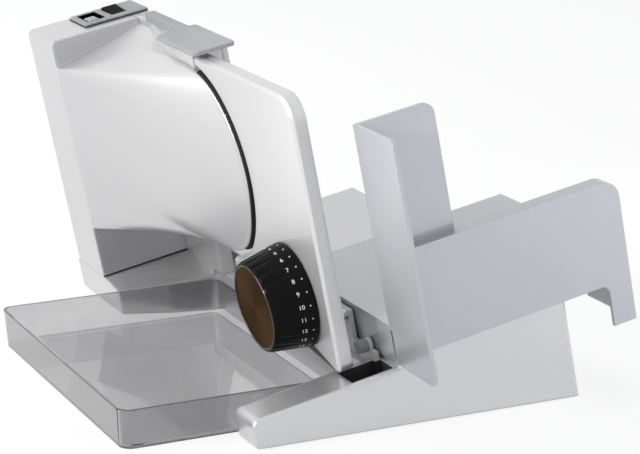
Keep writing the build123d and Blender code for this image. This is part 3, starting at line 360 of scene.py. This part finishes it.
def make_soft_edges():
    """Rounds the shading over corners and marks where they are."""
    tree, given, out = new_effect(
        "soft_edges", [("Width", FLOAT, 0.001)], [("Normal", VECTOR), ("Edge", FLOAT)]
    )
    round_off = put(tree, "ShaderNodeBevel", {"Radius": given["Width"]}, samples=6)
    flat = put(tree, "ShaderNodeNewGeometry")
    along = vectors(tree, "DOT_PRODUCT", round_off.outputs[0], flat.outputs["Normal"])
    edge = narrow(tree, maths(tree, "SUBTRACT", 1.0, along), start=0.02, end=0.25)
    tree.links.new(round_off.outputs[0], out["Normal"])
    tree.links.new(edge, out["Edge"])
    return tree


def make_paint_flake():
    """Metal flake and the faint orange peel of sprayed paint."""
    tree, given, out = new_effect(
        "paint_flake", [("Size", FLOAT, 2600.0)], [("Flake", FLOAT), ("Peel", FLOAT)]
    )
    cells = put(tree, "ShaderNodeTexVoronoi", {"Vector": place_of(tree), "Scale": given["Size"]})
    flake = put(tree, "ShaderNodeSeparateColor", {0: cells.outputs["Color"]})
    peel = noise(tree, place_of(tree), scale=260.0, detail=2.0)
    tree.links.new(flake.outputs[0], out["Flake"])
    tree.links.new(peel, out["Peel"])
    return tree


def make_handling():
    """Faint smudges and wipe marks from use."""
    tree, given, out = new_effect("handling", [("Size", FLOAT, 12.0)], [("Smudge", FLOAT)])
    where = place_of(tree)
    broad = noise(tree, where, scale=given["Size"], detail=5.0)
    stretched = put(tree, "ShaderNodeMapping", {"Vector": where, "Scale": (1.0, 0.25, 1.6)})
    wipes = noise(tree, stretched.outputs[0], scale=90.0, detail=3.0)
    both = maths(tree, "MULTIPLY", broad, maths(tree, "ADD", wipes, 0.5))
    tree.links.new(narrow(tree, both, start=0.28, end=0.72), out["Smudge"])
    return tree


def make_brushing():
    """Fine straight lines of brushed or ground metal."""
    tree, given, out = new_effect(
        "brushing", [("Stretch", VECTOR, (40.0, 1800.0, 1800.0))], [("Streak", FLOAT)]
    )
    stretched = vectors(tree, "MULTIPLY", place_of(tree), given["Stretch"])
    tree.links.new(noise(tree, stretched, scale=1.0, detail=4.0), out["Streak"])
    return tree


def make_turning():
    """Rings left by a lathe round an axis, and a painted sheen: reflected light painted in to both sides
    of the axis.
    """
    tree, given, out = new_effect(
        "turning",
        [
            ("Centre", VECTOR, (0, 0, 0)),
            ("Axis", VECTOR, (1, 0, 0)),
            ("Across", VECTOR, (0, 1, 0)),
            ("Pitch", FLOAT, 3000.0),
        ],
        [("Rings", FLOAT), ("PaintedSheen", FLOAT)],
    )
    away = vectors(tree, "SUBTRACT", place_of(tree), given["Centre"])
    square = vectors(tree, "CROSS_PRODUCT", away, given["Axis"])
    steps = maths(tree, "MULTIPLY", vectors(tree, "LENGTH", square), given["Pitch"])
    ring_inputs = {"W": steps, "Scale": 1.0, "Detail": 3.0}
    rings = put(tree, "ShaderNodeTexNoise", ring_inputs, noise_dimensions="1D")
    tree.links.new(rings.outputs[0], out["Rings"])
    # Painted sheen: a painted reflection, strongest square to the way across the axis.
    across = vectors(tree, "DOT_PRODUCT", vectors(tree, "NORMALIZE", square), given["Across"])
    tree.links.new(maths(tree, "MULTIPLY", across, across), out["PaintedSheen"])
    return tree


def make_fine_grain():
    """Fine moulded grain of plastic and rubber."""
    tree, given, out = new_effect("fine_grain", [("Size", FLOAT, 1500.0)], [("Grain", FLOAT)])
    tree.links.new(noise(tree, place_of(tree), scale=given["Size"], detail=2.0), out["Grain"])
    return tree


SOFT_EDGES = make_soft_edges()
PAINT_FLAKE = make_paint_flake()
HANDLING = make_handling()
BRUSHING = make_brushing()
TURNING = make_turning()
FINE_GRAIN = make_fine_grain()


def use(tree, effect, **values):
    """Place a shared effect in a material with its own values."""
    node = tree.nodes.new("ShaderNodeGroup")
    node.node_tree = effect
    for label, value in values.items():
        node.inputs[label].default_value = value
    return node.outputs


# Finishes

def new_finish(name, **sockets):
    """Material with a Principled shader; plain values are set on its own sockets."""
    material = bpy.data.materials.new(name)
    material.use_nodes = True
    shader = material.node_tree.nodes["Principled BSDF"]
    for label, value in sockets.items():
        shader.inputs[label.replace("_", " ")].default_value = value
    return material, material.node_tree, shader.inputs


def grey(value):
    return (value, value, value, 1)


def shaded(colour, amount):
    return (colour[0] * amount, colour[1] * amount, colour[2] * amount, 1)


def painted(name, colour, metallic, roughness, edge_width):
    """Satin metallic paint with flake, orange peel, smudges and thinner paint at the edges."""
    material, tree, shader = new_finish(
        name, Metallic=metallic, Coat_Weight=0.2, Coat_Roughness=0.15
    )
    edges = use(tree, SOFT_EDGES, Width=edge_width)
    paint = use(tree, PAINT_FLAKE, Size=2600.0)
    smudge = use(tree, HANDLING, Size=9.0)["Smudge"]
    tint = blend(tree, smudge, colour, shaded(colour, 0.98))
    sparkle = blend(tree, paint["Flake"], grey(0.992), grey(1.008))
    tint = blend(tree, 1.0, tint, sparkle, "MULTIPLY")
    worn = maths(tree, "MULTIPLY", edges["Edge"], 0.35)
    tree.links.new(blend(tree, worn, tint, shaded(colour, 1.16)), shader["Base Color"])
    tree.links.new(spread(tree, smudge, roughness - 0.01, roughness + 0.03), shader["Roughness"])
    normal = raised(tree, paint["Peel"], strength=0.02, distance=0.0001, normal=edges["Normal"])
    tree.links.new(normal, shader["Normal"])
    return material


def brushed(name, colour, roughness, stretch):
    """Ground or drawn steel with fine straight lines."""
    material, tree, shader = new_finish(name, Metallic=1.0, Anisotropic=0.4)
    edges = use(tree, SOFT_EDGES, Width=0.0004)
    streak = use(tree, BRUSHING, Stretch=stretch)["Streak"]
    smudge = use(tree, HANDLING, Size=14.0)["Smudge"]
    tint = blend(tree, streak, shaded(colour, 0.86), shaded(colour, 1.08))
    tree.links.new(blend(tree, smudge, tint, shaded(colour, 0.9)), shader["Base Color"])
    tree.links.new(spread(tree, streak, roughness - 0.07, roughness + 0.12), shader["Roughness"])
    normal = raised(tree, streak, strength=0.10, distance=0.0001, normal=edges["Normal"])
    tree.links.new(normal, shader["Normal"])
    return material


def turned(name, colour, roughness, axis, pitch, painted_sheen_depth, rim=(1, 1, 1, 1)):
    """Turned metal with rings about an axis given by its y and w, and a painted sheen: the colour darkens
    to both sides of the axis, down to the sheen depth given.
    """
    material, tree, shader = new_finish(name, Metallic=1.0, Specular_Tint=rim)
    edges = use(tree, SOFT_EDGES, Width=0.0004)
    centre = machine_point(0, *axis)
    along = machine_way(1, 0, 0)
    across = machine_way(0, 0.8, 0.6)
    lathe = use(tree, TURNING, Centre=centre, Axis=along, Across=across, Pitch=pitch)
    smudge = use(tree, HANDLING, Size=18.0)["Smudge"]
    tint = blend(tree, lathe["Rings"], shaded(colour, 0.82), shaded(colour, 1.14))
    tint = blend(tree, smudge, tint, shaded(colour, 0.92))
    # Painted sheen: colour darkened to both sides of the axis as a painted reflection of the rings.
    painted_sheen = blend(tree, lathe["PaintedSheen"], grey(1.0), grey(painted_sheen_depth))
    tree.links.new(blend(tree, 1.0, tint, painted_sheen, "MULTIPLY"), shader["Base Color"])
    tree.links.new(spread(tree, lathe["Rings"], roughness - 0.05, roughness + 0.09), shader["Roughness"])
    normal = raised(tree, lathe["Rings"], strength=0.08, distance=0.0001, normal=edges["Normal"])
    tree.links.new(normal, shader["Normal"])
    return material


def moulded(name, colour, roughness, grain_size, grain_depth, edge_width, shine=0.5):
    """Moulded plastic or rubber with a fine grain and slightly polished edges."""
    material, tree, shader = new_finish(name, Specular_IOR_Level=shine)
    edges = use(tree, SOFT_EDGES, Width=edge_width)
    grain = use(tree, FINE_GRAIN, Size=grain_size)["Grain"]
    smudge = use(tree, HANDLING, Size=16.0)["Smudge"]
    tint = blend(tree, smudge, colour, shaded(colour, 0.9))
    tint = blend(tree, grain, tint, shaded(colour, 1.06))
    worn = maths(tree, "MULTIPLY", edges["Edge"], 0.3)
    tree.links.new(blend(tree, worn, tint, shaded(colour, 1.3)), shader["Base Color"])
    tree.links.new(spread(tree, smudge, roughness - 0.05, roughness + 0.07), shader["Roughness"])
    normal = raised(tree, grain, strength=grain_depth, distance=0.0003, normal=edges["Normal"])
    tree.links.new(normal, shader["Normal"])
    return material


TRAY_WALL_TINT = (0.60, 0.595, 0.605, 1)
TRAY_FLOOR_TINT = (0.48, 0.475, 0.485, 1)
TRAY_SHADOW_TINT = grey(0.62)


def smoky_clear():
    """Clear grey moulding, darker in its floor, with flow waves, wipe marks and dark edges."""
    material, tree, shader = new_finish(
        "smoky_clear", Transmission_Weight=1.0, IOR=1.49, Specular_IOR_Level=0.5
    )
    edges = use(tree, SOFT_EDGES, Width=0.0012)
    smudge = use(tree, HANDLING, Size=10.0)["Smudge"]
    grain = use(tree, FINE_GRAIN, Size=120.0)["Grain"]
    surface = put(tree, "ShaderNodeNewGeometry")
    facing = put(tree, "ShaderNodeSeparateXYZ", {0: surface.outputs["Normal"]})
    level = put(tree, "ShaderNodeMath", {0: facing.outputs["Z"]}, operation="ABSOLUTE").outputs[0]
    thick = blend(tree, level, TRAY_WALL_TINT, TRAY_FLOOR_TINT)
    tint = blend(tree, maths(tree, "MULTIPLY", smudge, 0.07), thick, grey(0))
    tree.links.new(blend(tree, edges["Edge"], tint, grey(0.12)), shader["Base Color"])
    tree.links.new(spread(tree, smudge, 0.02, 0.07), shader["Roughness"])
    normal = raised(tree, grain, strength=0.05, distance=0.0004, normal=edges["Normal"])
    tree.links.new(normal, shader["Normal"])
    path = put(tree, "ShaderNodeLightPath")
    lit = put(tree, "ShaderNodeBsdfTransparent", {"Color": TRAY_SHADOW_TINT})
    both = mixed(tree, path.outputs["Is Shadow Ray"], tree.nodes["Principled BSDF"], lit)
    tree.links.new(both.outputs[0], tree.nodes["Material Output"].inputs["Surface"])
    return material


SILVER = (0.65, 0.65, 0.658, 1)
SHEET_SILVER = (0.50, 0.51, 0.537, 1)
STEEL = (0.74, 0.74, 0.75, 1)
DRAWN_STEEL = (0.62, 0.62, 0.63, 1)
PLATED_STEEL = (0.54, 0.55, 0.57, 1)
BRONZE = (0.52, 0.36, 0.17, 1)
CHROME = (0.09, 0.088, 0.086, 1)
# The cap's brown tint is a painted reflection of warm brown surroundings on a dark metal cap.
CAP_REFLECTED_BROWN = (0.092, 0.053, 0.028, 1)
CAP_RIM = (0.82, 0.68, 0.55, 1)
GREY_PLASTIC = (0.33, 0.34, 0.36, 1)
SLIDER_GREY = (0.42, 0.43, 0.45, 1)
NYLON = (0.78, 0.78, 0.76, 1)

silver_paint = painted("silver_paint", SILVER, metallic=0.55, roughness=0.30, edge_width=0.0032)
plate_paint = painted("plate_paint", SILVER, metallic=0.55, roughness=0.30, edge_width=0.0010)
sheet_paint = painted("blue_grey_paint", SHEET_SILVER, metallic=0.50, roughness=0.29, edge_width=0.0006)
ground_steel = brushed("ground_steel", STEEL, roughness=0.36, stretch=(1800.0, 40.0, 1800.0))
drawn_steel = brushed("drawn_steel", DRAWN_STEEL, roughness=0.36, stretch=(1500.0, 60.0, 1500.0))
plated_steel = brushed("plated_steel", PLATED_STEEL, roughness=0.38, stretch=(70.0, 900.0, 900.0))
blade_steel = turned(
    "blade_steel", STEEL, roughness=0.18, axis=BLADE_AXIS, pitch=1500.0, painted_sheen_depth=0.7
)
bronze = turned("bronze", BRONZE, roughness=0.42, axis=BLADE_AXIS, pitch=2500.0, painted_sheen_depth=0.8)
dark_chrome = turned("dark_chrome", CHROME, roughness=0.12, axis=DIAL_AXIS, pitch=900.0, painted_sheen_depth=0.85)
cap_metal = turned(
    "cap_metal", CAP_REFLECTED_BROWN, roughness=0.34, axis=DIAL_AXIS, pitch=2600.0, painted_sheen_depth=0.25, rim=CAP_RIM
)
dial_plastic = moulded(
    "dial_plastic", grey(0.004), roughness=0.35, shine=0.08,
    grain_size=900.0, grain_depth=0.03, edge_width=0.0006,
)
scale_print = moulded(
    "scale_print", grey(0.80), roughness=0.45,
    grain_size=2200.0, grain_depth=0.05, edge_width=0.00003,
)
grey_plastic = moulded(
    "grey_plastic", GREY_PLASTIC, roughness=0.40,
    grain_size=1700.0, grain_depth=0.12, edge_width=0.0006,
)
slider_plastic = moulded(
    "slider_plastic", SLIDER_GREY, roughness=0.40,
    grain_size=1700.0, grain_depth=0.10, edge_width=0.0005,
)
black_plastic = moulded(
    "black_plastic", grey(0.006), roughness=0.45, shine=0.02,
    grain_size=1700.0, grain_depth=0.10, edge_width=0.0005,
)
dark_plastic = moulded(
    "dark_plastic", grey(0.045), roughness=0.46,
    grain_size=1200.0, grain_depth=0.16, edge_width=0.0006,
)
white_nylon = moulded(
    "white_nylon", NYLON, roughness=0.40,
    grain_size=900.0, grain_depth=0.06, edge_width=0.0008,
)
rubber = moulded(
    "rubber", grey(0.012), roughness=0.62, shine=0.25,
    grain_size=1400.0, grain_depth=0.25, edge_width=0.0008,
)
tray_clear = smoky_clear()

FINISH = {
    "base_casting": silver_paint,
    "motor_housing": silver_paint,
    "guard_shoulder": silver_paint,
    "blade_frame": silver_paint,
    "rear_frame": silver_paint,
    "stop_plate": plate_paint,
    "carriage_floor": sheet_paint,
    "pusher_wall": sheet_paint,
    "thumb_guard": sheet_paint,
    "blade": blade_steel,
    "stop_plate_face": ground_steel,
    "guide_rods": plated_steel,
    "guide_rail": drawn_steel,
    "blade_shaft": drawn_steel,
    "motor_shaft": drawn_steel,
    "motor_posts": plated_steel,
    "motor_screws": drawn_steel,
    "base_cover_screws": drawn_steel,
    "knob_shaft": drawn_steel,
    "motor_can": plated_steel,
    "blade_bush": bronze,
    "knob_ring": dark_chrome,
    "knob_cap": cap_metal,
    "thickness_knob": dial_plastic,
    "top_guard": grey_plastic,
    "switch_plate": grey_plastic,
    "front_peg": grey_plastic,
    "blade_lock": grey_plastic,
    "lock_slider": slider_plastic,
    "power_button": black_plastic,
    "switch_bodies": black_plastic,
    "base_cover": dark_plastic,
    "motor_gearbox": dark_plastic,
    "motor_pulley": dark_plastic,
    "blade_pulley": dark_plastic,
    "slide_bracket": white_nylon,
    "carriage_glide": white_nylon,
    "glide_runner": white_nylon,
    "guide_bushes": white_nylon,
    "rubber_feet": rubber,
    "cable_bush": rubber,
    "drive_belt": rubber,
    "slice_tray": tray_clear,
}


def dress_nodes():
    for name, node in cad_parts.items():
        node.data.materials.clear()
        node.data.materials.append(FINISH[name])


# Printed scale

def dial_radius(u):
    """Radius of the dial's cone at one place along u."""
    start = DIAL_FRONT_U + DIAL_EDGE
    share = (u - start) / (DIAL_BACK_U - DIAL_RIM - start)
    return DIAL_FRONT_RADIUS + (DIAL_BACK_RADIUS - DIAL_FRONT_RADIUS) * min(max(share, 0), 1)


def on_dial(along, up, angle, u, rise):
    """Point of a print that is drawn flat at one place of the cone: along u and up round the dial."""
    radius = dial_radius(u + along) + rise
    turn = math.radians(angle) - up / radius
    y = DIAL_AXIS[0] + radius * math.cos(turn)
    w = DIAL_AXIS[1] + radius * math.sin(turn)
    return machine_point(u + along, y, w)


def number_mesh(text):
    """Flat mesh of a number in millimetres, centred on the origin."""
    curve = bpy.data.curves.new("number", "FONT")
    curve.body = text
    curve.size = NUMBER_SIZE
    curve.align_x = "CENTER"
    curve.align_y = "CENTER"
    holder = bpy.data.objects.new("number", curve)
    mesh = bpy.data.meshes.new_from_object(holder)
    bpy.data.objects.remove(holder)
    bpy.data.curves.remove(curve)
    return mesh


def add_piece(name, points, faces, body, material):
    mesh = bpy.data.meshes.new(name)
    mesh.from_pydata(points, [], faces)
    mesh.materials.append(material)
    piece = bpy.data.objects.new(name, mesh)
    scene.collection.objects.link(piece)
    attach(piece, body)


def add_print(name, tops, feet, faces, body, material):
    """Thin closed print: its faces on top, the same ones below and a wall along each open edge."""
    size = len(tops)
    sides = {(face[i - 1], face[i]) for face in faces for i in range(len(face))}
    walls = []
    for start, end in sorted(sides):
        if (end, start) not in sides:
            walls.append([end, start, start + size, end + size])
    under = [[i + size for i in reversed(face)] for face in faces]
    add_piece(name, tops + feet, faces + under + walls, body, material)


def add_dial_scale():
    flat = []
    faces = []
    for step in range(SCALE_STEPS + 1):
        angle = SCALE_ZERO + step * SCALE_PITCH
        start = len(flat)
        mesh = number_mesh(str(step))
        flat += [(v.co.x, v.co.y, angle, NUMBER_U) for v in mesh.vertices]
        faces += [[start + i for i in face.vertices] for face in mesh.polygons]
        bpy.data.meshes.remove(mesh)
        start = len(flat)
        for i in range(DOT_CORNERS):
            turn = 2 * math.pi * i / DOT_CORNERS
            flat.append((DOT_RADIUS * math.cos(turn), DOT_RADIUS * math.sin(turn), angle, DOT_U))
        faces.append([start + i for i in range(DOT_CORNERS)])
    tops = [on_dial(*place, PRINT_RISE) for place in flat]
    feet = [on_dial(*place, -PRINT_SINK) for place in flat]
    add_print("dial_scale", tops, feet, faces, "dial", scale_print)


def add_index_mark():
    """Small triangle on the stop plate that the dial is read against."""
    turn = math.radians(INDEX_ANGLE)
    out = Vector((math.cos(turn), math.sin(turn)))
    side = Vector((-out.y, out.x))
    centre = Vector(DIAL_AXIS)
    flat = [centre + out * INDEX_NEAR, centre + out * INDEX_FAR + side * INDEX_HALF]
    flat.append(centre + out * INDEX_FAR - side * INDEX_HALF)
    tops = [machine_point(PLATE_LEFT_U - INDEX_RISE, y, w) for y, w in flat]
    feet = [machine_point(PLATE_LEFT_U + PRINT_SINK, y, w) for y, w in flat]
    add_print("index_mark", tops, feet, [[0, 1, 2]], "thickness_plate", black_plastic)


# Seals, joints and painted shade

def foot_line(y):
    """Height w of the stop plate's lower edge at one place along y."""
    share = (y - PLATE_FOOT_Y[0]) / (PLATE_FOOT_Y[1] - PLATE_FOOT_Y[0])
    return PLATE_FOOT_W[0] + share * (PLATE_FOOT_W[1] - PLATE_FOOT_W[0])


def add_bead(name, rings, closed, body, material):
    """Strip swept through rings of points; an open one gets a face at each end."""
    size = len(rings[0])
    points = [point for ring in rings for point in ring]
    faces = []
    for step in range(len(rings) - (0 if closed else 1)):
        a = size * step
        b = size * ((step + 1) % len(rings))
        faces += [[a + i, b + i, b + (i + 1) % size, a + (i + 1) % size] for i in range(size)]
    if not closed:
        faces.append(list(range(size)))
        faces.append(list(range(len(points) - 1, len(points) - size - 1, -1)))
    add_piece(name, points, faces, body, material)


def half_round(deep, tall):
    """Half-round section as pairs of reach and height, with its flat side at no reach."""
    steps = 8
    turns = [math.pi * (i / steps - 0.5) for i in range(steps + 1)]
    return [(deep * math.cos(turn), tall / 2 + tall / 2 * math.sin(turn)) for turn in turns]


def frame_path(u, y, corner):
    """Rounded rectangle seen from above: places on it and the way out at each."""
    steps = 6
    path = []
    for quarter, (side_u, side_y) in enumerate(((1, 1), (0, 1), (0, 0), (1, 0))):
        centre_u = u[side_u] - corner * (2 * side_u - 1)
        centre_y = y[side_y] - corner * (2 * side_y - 1)
        for i in range(steps + 1):
            turn = math.pi / 2 * (quarter + i / steps)
            out = (math.cos(turn), math.sin(turn))
            path.append((centre_u + corner * out[0], centre_y + corner * out[1], out))
    return path


def add_switch_gasket():
    """Dark gasket that shows round the foot of the switch plate."""
    rings = []
    for u, y, out in frame_path(SWITCH_U, SWITCH_Y, SWITCH_CORNER):
        ring = []
        for reach, height in half_round(GASKET_OUT, GASKET_TALL):
            ring.append(machine_point(u + reach * out[0], y + reach * out[1], HOUSE_TOP_W + height))
        rings.append(ring)
    add_bead("switch_gasket", rings, True, "frame", rubber)


def slot_path():
    """Edge of the lock slider's opening."""
    return frame_path(LOCK_SLOT_U, LOCK_SLOT_Y, LOCK_SLOT_CORNER)


def window_path():
    """Corners of the window in the front beam and the way out at each."""
    left, right = WINDOW_U
    front, back = WINDOW_Y
    return [
        (left, front, (-1, -1)),
        (right, front, (1, -1)),
        (right, back, (1, 1)),
        (WINDOW_BAY_U, back, (1, 1)),
        (WINDOW_BAY_U, WINDOW_BAY_Y, (1, 1)),
        (left, WINDOW_BAY_Y, (-1, 1)),
    ]


def add_lining(name, path, w_limits, material):
    """Dark sleeve just inside the edge of an opening, painted shade for the dark inside of it."""
    low, high = w_limits
    section = [(SHADE_GAP, low), (SHADE_GAP, high), (SHADE_IN, high), (SHADE_IN, low)]
    rings = []
    for u, y, out in path:
        rings.append([machine_point(u - reach * out[0], y - reach * out[1], w) for reach, w in section])
    add_bead(name, rings, True, "frame", material)


def add_foot_strip():
    """Dark strip round the bevelled lower edge of the stop plate's left side, taller to the back: painted
    shade and painted reflection on the bevel.
    """
    lip = STRIP_RISE / 2
    rings = []
    for y, tall in STRIP_TALL.items():
        section = [
            (-PLATE_BEVEL, 0),
            (lip - PLATE_BEVEL, -lip),
            (STRIP_RISE, PLATE_BEVEL - lip),
            (STRIP_RISE, tall - STRIP_RISE),
            (0, tall),
            (0, PLATE_BEVEL),
        ]
        foot = foot_line(y)
        rings.append([machine_point(PLATE_LEFT_U - reach, y, foot + height) for reach, height in section])
    add_bead("foot_shade_strip", rings, False, "thickness_plate", dark_plastic)


def add_housing_seam():
    """Dark joint between the motor housing and the base."""
    left, right = HOUSE_U
    stations = (
        (left, SEAM_END_SHARE),
        (left + SEAM_TAPER, 1),
        (right - SEAM_TAPER, 1),
        (right, SEAM_END_SHARE),
    )
    rings = []
    for u, share in stations:
        ring = []
        for reach, height in half_round(SEAM_DEEP * share, SEAM_TALL):
            ring.append(machine_point(u, HOUSE_FRONT_Y - reach, HOUSE_SPLIT_W + height))
        rings.append(ring)
    add_bead("housing_seam", rings, False, "frame", rubber)


def flare_rim():
    """Angles and radii of the flare's rim about its axis, read from the housing's own mesh."""
    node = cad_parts["motor_housing"]
    to_machine = MACHINE.inverted() @ node.matrix_world
    rim = {}
    for vertex in node.data.vertices:
        u, y, w = (to_machine @ vertex.co) / MM
        angle = math.degrees(math.atan2(w - FLARE_AXIS[1], y - FLARE_AXIS[0])) % 360
        radius = math.hypot(y - FLARE_AXIS[0], w - FLARE_AXIS[1])
        share = max(angle - FLARE_ROUND_TO, 0) / (FLARE_NOSE_ANGLE - FLARE_ROUND_TO)
        expected = FLARE_RADIUS + (FLARE_NOSE_RADIUS - FLARE_RADIUS) * share
        near_rim = abs(u - FLARE_U) < RIM_NEAR_U and abs(radius - expected) < RIM_NEAR_RADIUS
        if near_rim and GAP_SHADE_ANGLES[0] < angle < GAP_SHADE_ANGLES[1]:
            rim[round(angle, 2)] = radius
    return sorted(rim.items())


def add_flare_seal():
    """Dark strip along the rim of the flare, in the gap to the stop plate: painted shade for the deep
    gap.
    """
    rings = []
    for angle, radius in flare_rim():
        turn = math.radians(angle)
        ring = []
        for reach, along in half_round(GAP_SHADE_DEPTH, GAP_SHADE_U[1] - GAP_SHADE_U[0]):
            y = FLARE_AXIS[0] + (radius + reach) * math.cos(turn)
            w = FLARE_AXIS[1] + (radius + reach) * math.sin(turn)
            ring.append(machine_point(GAP_SHADE_U[0] + along, y, w))
        rings.append(ring)
    add_bead("flare_gap_shade", rings, False, "frame", rubber)


def add_tray_mark():
    """Small curved mark moulded low on the tray's front wall."""
    tops = []
    feet = []
    steps = 8
    left, right = TRAY_MARK_X
    for step in range(steps + 1):
        share = 2 * step / steps - 1
        x = (left + right) / 2 + share * (right - left) / 2
        z = TRAY_MARK_Z + TRAY_MARK_SAG * share * share
        half = TRAY_MARK_TALL / 2 * math.sqrt(1 - TRAY_MARK_TAPER * share * share)
        for height in (z - half, z + half):
            y = TRAY_FRONT_Y + TRAY_DRAFT * (1 - height / TRAY_HEIGHT)
            tops.append(Vector((x, y - TRAY_MARK_RISE, height)) * MM + SHIFT)
            feet.append(Vector((x, y - TRAY_MARK_GAP, height)) * MM + SHIFT)
    faces = [[2 * i, 2 * i + 2, 2 * i + 3, 2 * i + 1] for i in range(steps)]
    add_print("tray_mark", tops, feet, faces, "tray", dark_plastic)


add_camera()
add_world()
add_floor()
add_lamps()
dress_nodes()
add_dial_scale()
add_index_mark()
add_switch_gasket()
# Painted shade inside the lock slider's opening and the window in the front beam.
add_lining("slot_shade", slot_path(), LOCK_SHADE_W, black_plastic)
add_lining("window_shade", window_path(), WINDOW_SHADE_W, dark_plastic)
# Painted shade and reflection along the stop plate's lower edge.
add_foot_strip()
add_housing_seam()
# Painted shade in the gap between the flare and the stop plate.
add_flare_seal()
add_tray_mark()
scene.view_settings.view_transform = "Standard"
